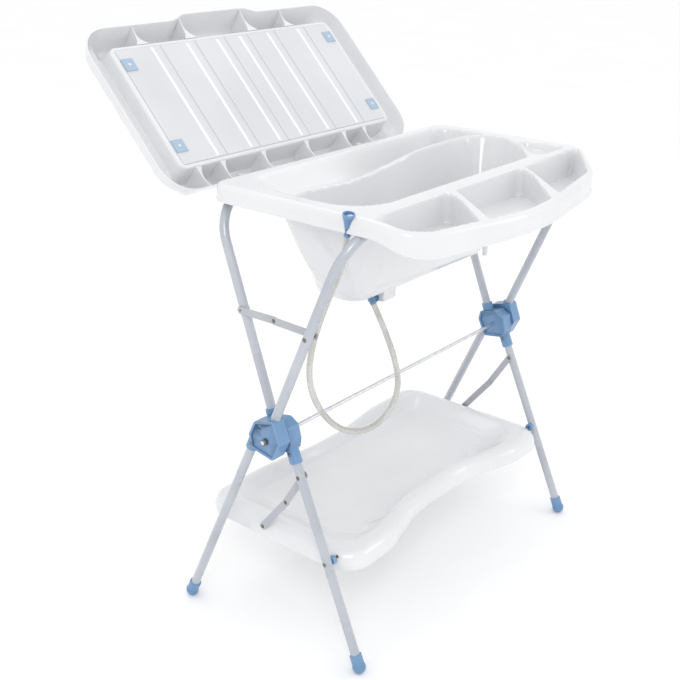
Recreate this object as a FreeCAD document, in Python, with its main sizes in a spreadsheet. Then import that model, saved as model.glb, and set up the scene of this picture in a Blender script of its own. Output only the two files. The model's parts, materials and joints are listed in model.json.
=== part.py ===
import FreeCAD, Part
import os
from math import acos, atan, cos, degrees, hypot, pi, sqrt, tan

from FreeCAD import Placement, Rotation, Vector

# Folding bath stand with a tub, a hinged changing top, a drain hose and a storage tray.
# +X runs along the tub, +Y towards the changing top, +Z up. The floor is z = 0.
# Every outline is drawn with y = 0 at the stand's pivot, and ShiftY moves the whole
# part so that its footprint is centred on the origin.

SIZES = {
    "ShiftY": -117.29,
    # stand tubes
    "TubeRadius": 9.5, "TubeWall": 1.2, "PivotZ": 463.0, "Splay": 0.023,
    "InnerPlane": 390.0, "OuterPlane": 424.0, "TopBarZ": 905.0, "BendRadius": 90.0,
    "RearTopOffset": 10.7, "RearTopSlope": 0.375, "FrontLegOffset": -16.2, "FrontLegSlope": 0.431,
    "FrontTopOffset": 5.8, "FrontTopSlope": -0.424, "RearLegOffset": 34.0, "RearLegSlope": -0.451,
    "TopTubeStartZ": 478.0, "FrontLegTopZ": 447.0, "RearLegTopZ": 455.0, "LegEndZ": 20.0,
    # hubs
    "OuterHubInnerX": 410.0, "OuterHubOuterX": 440.0, "InnerHubInnerX": 374.0, "InnerHubOuterX": 406.0,
    "HubCornerRadius": 6.0, "HubRecess": 3.0, "HubRim": 5.0, "CollarRadius": 13.0, "SocketRadius": 9.55,
    "BossRadius": 12.0, "BossFaceX": 409.7,
    "TopCollarLowZ": 478.0, "TopCollarHighZ": 509.0, "OuterCollarHighZ": 462.0,
    "OuterCollarLowZ": 431.0, "InnerCollarHighZ": 455.0, "InnerCollarLowZ": 411.0,
    "SocketRunOut": 11.0, "WindowDepth": 8.0, "WindowWidth": 13.0, "WindowHeight": 10.0,
    "WindowX": 434.0, "WindowY": 11.0, "WindowZ": 484.0,
    "RodRadius": 4.0, "RodHalfLength": 446.0, "RodBoreRadius": 4.05,
    "NutAcrossFlats": 13.0, "NutInnerX": 437.0, "NutOuterX": 442.0,
    # rivets and flat bars
    "RivetRadius": 2.5, "RivetBoreRadius": 2.6, "TurningBoreRadius": 2.55, "RivetHeadRadius": 4.6,
    "RivetHeadHeight": 1.6, "LinkThickness": 2.0, "LinkWidth": 15.0,
    "OuterRivetInnerX": 410.6, "InnerRivetInnerX": 377.5, "InnerRivetOuterX": 404.0,
    "TrayRivetInnerX": 366.2, "SpacerInnerX": 376.3, "SpacerOuterX": 386.0, "SpacerRadius": 9.0,
    # foot caps
    "FootRadius": 14.0, "FootCentreZ": 13.0, "FootCollarRadius": 12.5, "FootCollarLength": 26.0,
    # tub
    "BathHalfLength": 385.0, "BathBackY": 190.0, "BathFrontY": -352.0, "BathBackCorner": 40.0,
    "DeckZ": 934.0, "DeckFrontZ": 913.0, "DeckBreakY": -205.0,
    "SkirtZ": 899.5, "SkirtFrontZ": 873.0, "ShellWall": 3.0,
    "BasinHalfLength": 345.0, "BasinHalfWidth": 158.0, "BasinBottomZ": 705.0,
    "BasinFloorLeft": -235.0, "BasinFloorRight": 250.0, "BasinFloorHalfWidth": 72.0,
    "SeatRidgeY": 50.0, "ShelfZ": 880.0, "SoapDishZ": 916.0, "TrayFloorZ": 877.0,
    "CompartmentRunOut": 5.0, "PegX": 226.0, "PegY": -58.0, "PegFootZ": 690.0, "PegRadius": 6.0,
    "SaddleX": 250.0, "SaddleHalfWidth": 10.0, "RestGap": 0.3,
    # changing top, in its own sheet of u along X, v up the open top, w behind it
    "TopHalfLength": 395.0, "TopNearV": -55.0, "TopFarV": 347.0, "TopBulge": 14.0,
    "TopCornerRadius": 70.0, "TopDepth": 58.0, "TopTaper": 18.0, "TopTilt": 46.5,
    "TopPlaneY": 308.4, "TopPlaneZ": 934.0,
    "PanelHalfLength": 329.0, "PanelNearV": 6.0, "PanelFarV": 288.0, "PanelThickness": 3.0,
    "RibHalfWidth": 3.0, "RibHeight": 1.2, "RibMargin": 4.0, "GussetHalfWidth": 1.2, "GussetDrop": 12.0,
    "ClipEdge": 1.0, "ClipSize": 29.0, "ClipThickness": 2.4, "ClipBoreRadius": 3.5,
    "ClipPinRadius": 3.4, "ClipPinHeight": 3.0,
    "HingeY": 231.0, "HingeZ": 904.0, "HingeX": 196.0, "HingePinRadius": 3.0, "HingeBoreRadius": 3.05,
    "PinSeatRadius": 3.02, "LugRadius": 8.0,
    # storage tray
    "TrayHalfLength": 376.0, "TrayRimZ": 230.0, "TrayBottomZ": 191.0, "TrayWall": 3.5,
    "TrayRimWidth": 34.0,
    "TrayPivotY": -122.2, "TrayPivotZ": 217.0,
    # drain hose
    "HoseRadius": 6.0,
}

# Corners of the hub halves, y and z from the pivot, seen along -X.
OUTER_HUB_CORNERS = [(41.9, 4.7), (27.4, 35.6), (-23.1, 50.1), (-40.3, 4.6), (-21.1, -34.8),
                     (37.5, -24.6)]
INNER_HUB_CORNERS = [(-34, -26), (21, -34.8), (40.3, 4.6), (36, 26), (-10, 36), (-30, 24), (-37, -4)]

# Rivets of the hubs and pivots of the flat bars, (y, z).
OUTER_HUB_RIVET = (36.8, 447.5)
INNER_HUB_RIVET = (-30.4, 430.0)
BRACE_REAR_PIVOT = (98.8, 698.0)
BRACE_KNEE = (8.6, 699.8)
BRACE_FRONT_PIVOT = (-93.5, 697.1)
STRUT_TOP_PIVOT = (-50.2, 384.0)
STRUT_KNEE = (1.5, 300.8)
STRUT_BOTTOM_PIVOT = (70.0, 216.0)

# Flat bars lie in layers side by side, |x| of each layer's lower face.
BRACE_REAR_LAYER = 395.0
BRACE_FRONT_LAYER = 397.5
STRUT_UPPER_LAYER = 379.8
STRUT_LOWER_LAYER = 377.3

# Route of the hose from the drain elbow to the plug on the rim.
HOSE_ROUTE = [
    (-166, -48, 681), (-176, -84, 640), (-194, -125, 594), (-214, -153, 550), (-252, -160, 509),
    (-300, -146, 481), (-347, -115, 488), (-376, -84, 533), (-387, -67, 592), (-386, -73, 660),
    (-379, -92, 728), (-374, -117, 790), (-374, -143, 848), (-379, -151, 893),
]

X_AXIS = Vector(1, 0, 0)
Z_AXIS = Vector(0, 0, 1)

doc = FreeCAD.newDocument("ChangingTable")
sheet = doc.addObject("Spreadsheet::Sheet", "Sizes")
for row, (alias, number) in enumerate(SIZES.items(), start=1):
    sheet.set(f"A{row}", alias)
    sheet.set(f"B{row}", str(number))
    sheet.setAlias(f"B{row}", alias)
doc.recompute()

nodes = {}


def size(alias):
    """The number in the sheet's cell of this alias."""
    return float(getattr(sheet, alias))


def bind(item, **expressions):
    """Bind properties of a document object to expressions on the sheet."""
    for prop, expression in expressions.items():
        item.setExpression(prop, expression)


def add(kind, name):
    return doc.addObject(kind, name)


def node(name, item):
    """Register a finished sub-part under the name of its file."""
    item.Label = name
    nodes[name] = item
    return item


def feature(name, shape):
    """A sub-part, or a tool for one, whose shape is made with Part's own functions."""
    item = add("Part::Feature", name)
    item.Shape = shape
    return item


def cylinder(name, start, end, radius, **expressions):
    """A cylinder primitive between two points."""
    item = add("Part::Cylinder", name)
    item.Radius = radius
    item.Height = (end - start).Length
    item.Placement = Placement(start, Rotation(Z_AXIS, end - start))
    bind(item, **expressions)
    return item


def along_x(name, x_start, x_end, y, z, radius, **expressions):
    """A cylinder primitive along X at y and z."""
    return cylinder(name, Vector(x_start, y, z), Vector(x_end, y, z), radius, **expressions)


def fused(name, items):
    item = add("Part::MultiFuse", name)
    item.Shapes = items
    return item


def cut(name, base, tools):
    """Base minus one or more tools."""
    item = add("Part::Cut", name)
    item.Base = base
    item.Tool = tools[0] if len(tools) == 1 else fused(name + "_tools", tools)
    return item


def grouped(name, items):
    """Separate solids that share one node."""
    item = add("Part::Compound", name)
    item.Links = items
    return item


def side_name(side):
    return "left" if side < 0 else "right"


# ---------------------------------------------------------------- outlines

def rounded_wire(corners, closed=True):
    """A wire through corners (x, y, z, radius): straight runs joined by tangent arcs."""
    count = len(corners)
    points = [Vector(*corner[:3]) for corner in corners]
    edges = []
    last = None if closed else points[0]
    first = None
    for index in range(count):
        if not closed and index in (0, count - 1):
            continue
        here = points[index]
        before = (points[index - 1] - here).normalize()
        after = (points[(index + 1) % count] - here).normalize()
        turn = pi - acos(max(-1.0, min(1.0, before.dot(after))))
        reach = corners[index][3] * tan(turn / 2)
        start = here + before * reach
        end = here + after * reach
        middle = here + (before + after).normalize() * corners[index][3] * (1 / cos(turn / 2) - 1)
        if last is not None:
            edges.append(Part.LineSegment(last, start).toShape())
        else:
            first = start
        edges.append(Part.Arc(start, middle, end).toShape())
        last = end
    edges.append(Part.LineSegment(last, first if closed else points[-1]).toShape())
    return Part.Wire(edges)


def box_wire(x_low, x_high, y_low, y_high, z, radius):
    return rounded_wire([
        (x_low, y_low, z, radius), (x_high, y_low, z, radius),
        (x_high, y_high, z, radius), (x_low, y_high, z, radius),
    ])


def loft(lower, upper):
    return Part.makeLoft([lower, upper], True, True)


def prism(wire, height):
    return Part.Face(wire).extrude(Vector(0, 0, height))


def block(x_low, x_high, y_low, y_high, z_low, z_high):
    return Part.makeBox(x_high - x_low, y_high - y_low, z_high - z_low, Vector(x_low, y_low, z_low))


def profile_along_x(points, x_low, x_high):
    """A polygon of (y, z) points extruded along X."""
    corners = [Vector(x_low, y, z) for y, z in points]
    face = Part.Face(Part.makePolygon(corners + corners[:1]))
    return face.extrude(Vector(x_high - x_low, 0, 0))


# ---------------------------------------------------------------- tubes

class Tube:
    """Axis of a stand tube: a straight line in a plane that leans in by Splay."""

    def __init__(self, plane, offset, slope):
        self.plane = plane
        self.offset = offset
        self.slope = slope

    def at(self, side, z):
        drop = size("PivotZ") - z
        x = size(self.plane) + size("Splay") * drop
        return Vector(side * x, size(self.offset) - size(self.slope) * drop, z)


REAR_TOP = Tube("InnerPlane", "RearTopOffset", "RearTopSlope")
FRONT_LEG = Tube("InnerPlane", "FrontLegOffset", "FrontLegSlope")
FRONT_TOP = Tube("OuterPlane", "FrontTopOffset", "FrontTopSlope")
REAR_LEG = Tube("OuterPlane", "RearLegOffset", "RearLegSlope")


def rivet_bore(name, side, inner, outer, pivot):
    return along_x(name, side * inner, side * outer, pivot[0], pivot[1], 2.6,
                   Radius="Sizes.RivetBoreRadius")


def leg(name, tube, side, top_alias, pivots):
    """One straight leg tube with cross bores for its rivets."""
    top = tube.at(side, size(top_alias))
    bottom = tube.at(side, size("LegEndZ"))
    outer = cylinder(name + "_outer", bottom, top, 9.5, Radius="Sizes.TubeRadius")
    inner = cylinder(name + "_bore", bottom, top, 8.3, Radius="Sizes.TubeRadius - Sizes.TubeWall")
    tools = [inner]
    for index, pivot in enumerate(pivots):
        x = abs(tube.at(side, pivot[1]).x)
        tools.append(rivet_bore(f"{name}_bore_{index}", side, x - 12, x + 12, pivot))
    return node(name, cut(name, outer, tools))


def bent_tube(name, tube, pivots):
    """An inverted U tube: a path in a tilted plane and a round tube swept along it."""
    lean = hypot(1, size(tube.slope))
    start = tube.at(1, size("TopTubeStartZ"))
    corner = tube.at(1, size("TopBarZ"))
    start_v = (start.z - size("PivotZ")) * lean
    corner_v = (corner.z - size("PivotZ")) * lean
    bend = size("BendRadius")
    path = rounded_wire([
        (-start.x, 0, start_v, 0), (-corner.x, 0, corner_v, bend),
        (corner.x, 0, corner_v, bend), (start.x, 0, start_v, 0),
    ], closed=False)
    body = add("PartDesign::Body", name + "_body")
    frame = {item.Role: item for item in body.Origin.OriginFeatures}
    spine = body.newObject("Sketcher::SketchObject", name + "_path")
    spine.AttachmentSupport = [(frame["XZ_Plane"], "")]
    spine.MapMode = "FlatFace"
    for edge in path.Edges:
        ends = [Vector(p.Point.x, p.Point.z, 0) for p in (edge.firstVertex(True), edge.lastVertex(True))]
        if isinstance(edge.Curve, Part.Circle):
            middle = edge.valueAt((edge.FirstParameter + edge.LastParameter) / 2)
            spine.addGeometry(Part.Arc(ends[0], Vector(middle.x, middle.z, 0), ends[1]), False)
        else:
            spine.addGeometry(Part.LineSegment(*ends), False)
    section = body.newObject("Sketcher::SketchObject", name + "_section")
    section.AttachmentSupport = [(frame["XY_Plane"], "")]
    section.MapMode = "FlatFace"
    section.AttachmentOffset = Placement(Vector(-start.x, 0, start_v), Rotation())
    for radius in (size("TubeRadius"), size("TubeRadius") - size("TubeWall")):
        section.addGeometry(Part.Circle(Vector(0, 0, 0), Z_AXIS, radius), False)
    doc.recompute()
    pipe = body.newObject("PartDesign::AdditivePipe", name + "_pipe")
    pipe.Profile = section
    pipe.Spine = (spine, [f"Edge{index + 1}" for index in range(len(path.Edges))])
    body.Tip = pipe
    body.Placement = Placement(Vector(0, size(tube.offset), size("PivotZ")),
                               Rotation(X_AXIS, -degrees(atan(size(tube.slope)))))
    doc.recompute()
    tools = []
    for side, pivot in pivots:
        x = abs(tube.at(side, pivot[1]).x)
        tools.append(rivet_bore(f"{name}_bore_{side_name(side)}", side, x - 12, x + 12, pivot))
    return node(name, cut(name, body, tools))


# ---------------------------------------------------------------- hubs

def hub_sketch(body, name, corners, x_face, inset):
    """A hub's outline with rounded corners on the plane x = x_face, inset by a rim."""
    frame = {item.Role: item for item in body.Origin.OriginFeatures}
    sketch = body.newObject("Sketcher::SketchObject", name)
    sketch.AttachmentSupport = [(frame["YZ_Plane"], "")]
    sketch.MapMode = "FlatFace"
    sketch.AttachmentOffset = Placement(Vector(0, 0, x_face), Rotation())
    radius = size("HubCornerRadius")
    outline = rounded_wire([(y, size("PivotZ") + z, 0, radius) for y, z in corners])
    if inset:
        outline = outline.makeOffset2D(-inset)
    for edge in outline.Edges:
        ends = [p.Point for p in (edge.firstVertex(True), edge.lastVertex(True))]
        if isinstance(edge.Curve, Part.Circle):
            middle = edge.valueAt((edge.FirstParameter + edge.LastParameter) / 2)
            sketch.addGeometry(Part.Arc(ends[0], middle, ends[1]), False)
        else:
            sketch.addGeometry(Part.LineSegment(*ends), False)
    return sketch


def hub_body(name, corners, x_low, x_high, recess_side):
    """A padded outline, with a shallow recess inside a rim on one face."""
    body = add("PartDesign::Body", name + "_body")
    sketch = hub_sketch(body, name + "_outline", corners, x_low, 0)
    pad = body.newObject("PartDesign::Pad", name + "_pad")
    pad.Profile = sketch
    pad.Length = x_high - x_low
    body.Tip = pad
    doc.recompute()
    if recess_side:
        face = x_high if recess_side > 0 else x_low
        rim = hub_sketch(body, name + "_rim", corners, face, size("HubRim"))
        pocket = body.newObject("PartDesign::Pocket", name + "_recess")
        pocket.Profile = rim
        pocket.Length = size("HubRecess")
        bind(pocket, Length="Sizes.HubRecess")
        pocket.Reversed = recess_side < 0
        body.Tip = pocket
        doc.recompute()
        if not body.Shape.Volume < pad.Shape.Volume - 1000:
            raise RuntimeError(name + ": the recess cuts nothing")
    return body


def collar(name, tube, side, z_from, z_to):
    return cylinder(name, tube.at(side, z_from), tube.at(side, z_to), 13, Radius="Sizes.CollarRadius")


def socket(name, tube, side, z_from, z_to):
    return cylinder(name, tube.at(side, z_from), tube.at(side, z_to), 9.55, Radius="Sizes.SocketRadius")


def rod_bore(name, side):
    return along_x(name, side * 340, side * 450, 0, size("PivotZ"), 4.05, Radius="Sizes.RodBoreRadius")


def outer_hub(side):
    """Outer half: carries the front top tube from above and the rear leg from below."""
    name = "outer_hub_" + side_name(side)
    faces = sorted((side * size("OuterHubInnerX"), side * size("OuterHubOuterX")))
    body = hub_body(name, OUTER_HUB_CORNERS, faces[0], faces[1], side)
    solid = fused(name + "_solid", [
        body,
        collar(name + "_top_collar", FRONT_TOP, side, size("TopCollarLowZ"),
               size("TopCollarHighZ")),
        collar(name + "_low_collar", REAR_LEG, side, size("OuterCollarHighZ"),
               size("OuterCollarLowZ")),
    ])
    window = add("Part::Box", name + "_window")
    bind(window, Length="Sizes.WindowDepth", Width="Sizes.WindowWidth", Height="Sizes.WindowHeight")
    window_x = size("WindowX") if side > 0 else -size("WindowX") - size("WindowDepth")
    window.Placement = Placement(Vector(window_x, size("WindowY"), size("WindowZ")), Rotation())
    top_end = size("TopCollarHighZ") + size("SocketRunOut")
    low_end = size("OuterCollarLowZ") - size("SocketRunOut")
    tools = [
        socket(name + "_top_socket", FRONT_TOP, side, size("TopTubeStartZ"), top_end),
        socket(name + "_low_socket", REAR_LEG, side, size("RearLegTopZ"), low_end),
        rod_bore(name + "_rod_bore", side),
        window,
        rivet_bore(name + "_rivet_bore", side, size("OuterHubInnerX") - 1, size("OuterHubOuterX") + 1,
                   OUTER_HUB_RIVET),
    ]
    return node(name, cut(name, solid, tools))


def inner_hub(side):
    """Inner half: carries the rear top tube and the front leg, and turns about the rod."""
    name = "inner_hub_" + side_name(side)
    faces = sorted((side * size("InnerHubInnerX"), side * size("InnerHubOuterX")))
    body = hub_body(name, INNER_HUB_CORNERS, faces[0], faces[1], -side)
    solid = fused(name + "_solid", [
        body,
        collar(name + "_top_collar", REAR_TOP, side, size("TopCollarLowZ"),
               size("TopCollarHighZ")),
        collar(name + "_low_collar", FRONT_LEG, side, size("InnerCollarHighZ"),
               size("InnerCollarLowZ")),
        along_x(name + "_boss", side * size("InnerHubOuterX"), side * size("BossFaceX"),
                0, size("PivotZ"), 12, Radius="Sizes.BossRadius"),
    ])
    top_end = size("TopCollarHighZ") + size("SocketRunOut")
    low_end = size("InnerCollarLowZ") - size("SocketRunOut")
    tools = [
        socket(name + "_top_socket", REAR_TOP, side, size("TopTubeStartZ"), top_end),
        socket(name + "_low_socket", FRONT_LEG, side, size("FrontLegTopZ"), low_end),
        rod_bore(name + "_rod_bore", side),
        rivet_bore(name + "_rivet_bore", side, size("InnerHubInnerX") - 1, size("InnerHubOuterX") + 1,
                   INNER_HUB_RIVET),
    ]
    return node(name, cut(name, solid, tools))


def rivet(name, side, inner, outer, pivot, head_inside=True, head_outside=True):
    """A rivet along X with a domed head at each end that has room for one."""
    shank = along_x(name + "_shank", side * inner, side * outer, pivot[0], pivot[1], 2.5,
                    Radius="Sizes.RivetRadius")
    pieces = [shank]
    rise = size("RivetHeadHeight")
    ball = (size("RivetHeadRadius") ** 2 + rise ** 2) / (2 * rise)
    for here, face, outward in ((head_inside, inner, -1), (head_outside, outer, 1)):
        if not here:
            continue
        head = add("Part::Sphere", f"{name}_head_{'in' if outward < 0 else 'out'}")
        head.Radius = ball
        head.Angle1 = degrees(acos(size("RivetHeadRadius") / ball))
        head.Angle2 = 90
        direction = Vector(side * outward, 0, 0)
        centre = Vector(side * face, pivot[0], pivot[1]) - direction * (ball - rise)
        head.Placement = Placement(centre, Rotation(Z_AXIS, direction))
        pieces.append(head)
    return fused(name, pieces)


# ---------------------------------------------------------------- flat bars

def flat_bar(name, side, layer, start, end, start_bore, end_bore):
    """A flat bar with round ends between two pivots (y, z), bored at each one."""
    length = hypot(end[0] - start[0], end[1] - start[1])
    half = size("LinkWidth") / 2
    body = add("PartDesign::Body", name + "_body")
    frame = {item.Role: item for item in body.Origin.OriginFeatures}
    sketch = body.newObject("Sketcher::SketchObject", name + "_outline")
    sketch.AttachmentSupport = [(frame["YZ_Plane"], "")]
    sketch.MapMode = "FlatFace"
    sketch.addGeometry(Part.LineSegment(Vector(0, -half, 0), Vector(length, -half, 0)), False)
    sketch.addGeometry(Part.Arc(Vector(length, -half, 0), Vector(length + half, 0, 0),
                                Vector(length, half, 0)), False)
    sketch.addGeometry(Part.LineSegment(Vector(length, half, 0), Vector(0, half, 0)), False)
    sketch.addGeometry(Part.Arc(Vector(0, half, 0), Vector(-half, 0, 0), Vector(0, -half, 0)), False)
    for place, bore in ((0, start_bore), (length, end_bore)):
        if bore:
            sketch.addGeometry(Part.Circle(Vector(place, 0, 0), Z_AXIS, bore), False)
    pad = body.newObject("PartDesign::Pad", name + "_pad")
    pad.Profile = sketch
    pad.Length = 2
    bind(pad, Length="Sizes.LinkThickness")
    body.Tip = pad
    x = layer if side > 0 else -layer - size("LinkThickness")
    swing = Rotation(Vector(0, 1, 0), Vector(0, end[0] - start[0], end[1] - start[1]))
    body.Placement = Placement(Vector(x, start[0], start[1]), swing)
    return node(name, body)


# ---------------------------------------------------------------- feet

def foot(name, tube, side):
    """A ball cap on a leg's end: a ball with a flat tread and a collar up the tube."""
    centre = tube.at(side, size("FootCentreZ"))
    up = (tube.at(side, 100) - centre).normalize()
    ball = add("Part::Sphere", name + "_ball")
    ball.Placement = Placement(centre, Rotation())
    bind(ball, Radius="Sizes.FootRadius")
    sleeve = cylinder(name + "_collar", centre, centre + up * size("FootCollarLength"), 12.5,
                      Radius="Sizes.FootCollarRadius")
    seat = cylinder(name + "_seat", tube.at(side, size("LegEndZ")), tube.at(side, 80), 9.55,
                    Radius="Sizes.SocketRadius")
    ground = add("Part::Box", name + "_ground")
    ground.Length, ground.Width, ground.Height = 60, 60, 20
    ground.Placement = Placement(centre + Vector(-30, -30, -20 - centre.z), Rotation())
    return cut(name, fused(name + "_solid", [ball, sleeve]), [seat, ground])


# ---------------------------------------------------------------- tub

# Corners (x, y, radius) of the deck's front, from its right end to its left: it bows out in the
# middle and is cut back at the right.
DECK_FRONT = [(385, -194, 100), (232, -307, 130), (-60, -362, 555), (-345, -310, 60), (-385, -272, 60)]


def bath_outline(z, inset=0):
    """Plan of the deck, with a straight back and straight ends."""
    half = size("BathHalfLength")
    back = size("BathBackY")
    radius = size("BathBackCorner")
    wire = rounded_wire([(-half, back, z, radius), (half, back, z, radius)]
                        + [(x, y, z, corner) for x, y, corner in DECK_FRONT])
    return wire.makeOffset2D(-inset) if inset else wire


def basin_space(grow):
    """The bathing space, grown by a wall: a long bowl, and its wide left half."""
    top = size("DeckZ") + (1 if grow == 0 else -1)
    floor = size("BasinBottomZ") + (size("ShellWall") if grow == 0 else 0)
    long = size("BasinHalfLength") + grow
    wide = size("BasinHalfWidth") + grow
    front = -size("BasinFloorHalfWidth") - grow
    left = size("BasinFloorLeft") - grow
    bowl = loft(
        box_wire(left, size("BasinFloorRight") + grow, front, 20 + grow, floor, 34 + grow),
        box_wire(-long, long - 2, -wide, size("SeatRidgeY") + grow, top, 90 + grow),
    )
    foot_end = loft(
        box_wire(left, 60, front, -front, floor, 34 + grow),
        box_wire(-long, 20, -wide, wide, top, 90 + grow),
    )
    return bowl.fuse(foot_end)


def shelf_space(grow):
    """The shallow shelf behind the bowl, grown by a wall."""
    low = size("ShelfZ") - grow
    outline = box_wire(-40 - grow, size("BasinHalfLength") + grow, size("SeatRidgeY") + 6 - grow,
                       size("BasinHalfWidth") + grow, low, 40 + grow)
    return prism(outline, size("DeckZ") + (1 if grow == 0 else -1) - low)


def soap_dish_space():
    outline = rounded_wire([(336, -76, 0, 8), (336, -154, 0, 8), (262, -154, 0, 8)])
    dish = prism(outline, 30)
    dish.translate(Vector(0, 0, size("SoapDishZ")))
    return dish


# Plans (x, y, corner radius) of the three compartments in the front of the deck.
COMPARTMENTS = [
    [(-368, -197, 14), (-150, -197, 14), (-212, -316, 14), (-300, -305, 14), (-362, -270, 14)],
    [(-128, -197, 14), (106, -197, 14), (30, -327, 14), (-186, -324, 14)],
    [(138, -197, 14), (352, -198, 7), (226, -292, 14), (64, -324, 14)],
]


def compartment_space(corners, grow):
    """A compartment in the deck, grown by a wall."""
    outline = rounded_wire([(x, y, 0, radius) for x, y, radius in corners])
    if grow:
        outline = outline.makeOffset2D(grow)
    low = size("TrayFloorZ") - grow
    top = size("DeckZ") + (size("CompartmentRunOut") if grow == 0 else -1)
    space = prism(outline, top - low)
    space.translate(Vector(0, 0, low))
    return space


def above_deck(drop):
    """Everything above the deck's plane, which slopes down towards the front."""
    z = size("DeckZ") - drop
    front_z = size("DeckFrontZ") - drop
    slope = (z - front_z) / (size("DeckBreakY") - size("BathFrontY"))
    far = 60
    return profile_along_x([
        (size("BathBackY") + far, z), (size("DeckBreakY"), z),
        (size("BathFrontY") - far, front_z - far * slope),
        (size("BathFrontY") - far, z + far), (size("BathBackY") + far, z + far),
    ], -500, 500)


def under_skirt():
    """Everything under the skirt's lower edge, which dips at the front."""
    return profile_along_x([
        (260, size("SkirtZ")), (size("DeckBreakY"), size("SkirtZ")), (-236, 891), (-268, 881),
        (size("BathFrontY"), size("SkirtFrontZ")), (-420, size("SkirtFrontZ")),
        (-420, 600), (260, 600),
    ], -500, 500)


# Ribs under the deck at each saddle: y from, y to, and true for a rib that rests on a top bar.
SADDLE_RIBS = [(168, 186, True), (-191, -172, True), (-194.4, -191.4, False), (-171.8, -168.8, False)]


def saddles():
    """Ribs under the deck that rest on the two top bars, and cheeks beside the front bar."""
    bar_top = size("TopBarZ") + size("TubeRadius") + size("RestGap")
    half = size("SaddleHalfWidth")
    pieces = []
    for x in (-size("SaddleX"), size("SaddleX")):
        for y_low, y_high, rests in SADDLE_RIBS:
            foot_z = bar_top if rests else size("SkirtZ")
            pieces.append(block(x - half, x + half, y_low, y_high, foot_z, size("DeckZ") - 2))
    return pieces


# The box under the basin that takes the drain: x, y and z from and to.
DRAIN_BOX = (-150, -110, -62, -18, 683, 706)

# The notch in the skirt's right end that clears the front top tube: x, y and z from and to.
TUBE_NOTCH = (362, 388, -193, -163, 897, 905)


def bath_tub():
    """Deck with a skirt, the basin, the shelf, three compartments and the drain box."""
    wall = size("ShellWall")
    low = size("SkirtFrontZ")
    outer = prism(bath_outline(low), size("DeckZ") - low)
    inside = prism(bath_outline(low - 1, wall), size("DeckZ") - low + 1).cut(above_deck(wall))
    hull = outer.cut(inside)
    hull = hull.cut(under_skirt())
    spaces = [compartment_space(plan, wall) for plan in COMPARTMENTS]
    below = [shape.cut(above_deck(wall / 2)) for shape in spaces]
    hull = hull.fuse([basin_space(wall), shelf_space(wall)] + below + saddles())
    peg = Part.makeCylinder(size("PegRadius"), 40, Vector(size("PegX"), size("PegY"), size("PegFootZ")))
    hull = hull.fuse([block(*DRAIN_BOX), peg])
    hollows = [basin_space(0), shelf_space(0), soap_dish_space(), above_deck(0), block(*TUBE_NOTCH)]
    hollows += [compartment_space(plan, 0) for plan in COMPARTMENTS]
    hollows.append(Part.makeCylinder(8, 18, Vector(-128, -38, 694)))
    hollows.append(Part.makeCylinder(5.05, 40, Vector(-160, ELBOW_CENTRE.y, ELBOW_CENTRE.z), X_AXIS))
    hollows.append(Part.makeCylinder(11.6, 80, PLUG_FOOT - PLUG_AXIS * 12, PLUG_AXIS))
    return hull.cut(hollows)


# ---------------------------------------------------------------- hose, elbow and plug

def unit(start, end):
    return (Vector(*end) - Vector(*start)).normalize()


ELBOW_AXIS = unit(HOSE_ROUTE[0], HOSE_ROUTE[1])
ELBOW_CENTRE = Vector(*HOSE_ROUTE[0]) - ELBOW_AXIS * 12
PLUG_FOOT = Vector(*HOSE_ROUTE[-1])
PLUG_AXIS = unit(HOSE_ROUTE[-2], HOSE_ROUTE[-1])


def drain_elbow():
    """A barbed elbow: a nipple into the drain box, a flange, a knuckle and the hose spigot."""
    centre = ELBOW_CENTRE
    face = Vector(DRAIN_BOX[0], centre.y, centre.z)
    pieces = [
        cylinder("elbow_nipple", face, face + Vector(14, 0, 0), 5),
        cylinder("elbow_flange", face - Vector(3, 0, 0), face, 9.5),
        cylinder("elbow_stub", centre, face, 7),
        cylinder("elbow_spigot", centre, centre + ELBOW_AXIS * 12, 6.6),
    ]
    knuckle = add("Part::Sphere", "elbow_knuckle")
    knuckle.Radius = 8
    knuckle.Placement = Placement(centre, Rotation())
    return node("drain_elbow", fused("drain_elbow", pieces + [knuckle]))


def hose_plug():
    """A flared plug turned about the hose's end: stem, grip ring, flare and an open mouth."""
    outline = [(0, 0), (6.2, 0), (6.2, 3), (5, 4), (5, 17), (6.4, 19), (6.4, 22), (7, 26),
               (11, 40), (11, 44), (9.4, 44), (5.4, 28), (0, 28)]
    corners = [Vector(radius, 0, height) for radius, height in outline]
    turned = Part.Face(Part.makePolygon(corners + corners[:1])).revolve(Vector(), Z_AXIS, 360)
    plug = feature("hose_plug", turned)
    plug.Placement = Placement(PLUG_FOOT, Rotation(Z_AXIS, PLUG_AXIS))
    return node("hose_plug", plug)


def drain_hose():
    """A solid cord along straight runs joined by tangent arcs."""
    points = [Vector(*point) for point in HOSE_ROUTE]
    runs = [(end - start).Length for start, end in zip(points, points[1:])]
    corners = [(*HOSE_ROUTE[0], 0)]
    for index in range(1, len(points) - 1):
        before = (points[index - 1] - points[index]).normalize()
        after = (points[index + 1] - points[index]).normalize()
        turn = pi - acos(before.dot(after))
        radius = 0.45 * min(runs[index - 1], runs[index]) / tan(turn / 2)
        print(f"hose bend {index}: turn {degrees(turn):.1f} deg, radius {radius:.0f} mm, "
              f"run {runs[index]:.0f} mm")
        corners.append((*HOSE_ROUTE[index], radius))
    corners.append((*HOSE_ROUTE[-1], 0))
    path = rounded_wire(corners, closed=False)
    ring = Part.Wire(Part.makeCircle(size("HoseRadius"), points[0], points[1] - points[0]))
    tube = path.makePipeShell([ring], True, False)
    expected = pi * size("HoseRadius") ** 2 * path.Length
    print(f"hose length {path.Length:.1f} mm, volume over section times length "
          f"{tube.Volume / expected:.4f}")
    if abs(tube.Volume / expected - 1) > 0.02:
        raise RuntimeError("the hose's volume is not its section times its length")
    return node("drain_hose", feature("drain_hose", tube))


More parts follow.
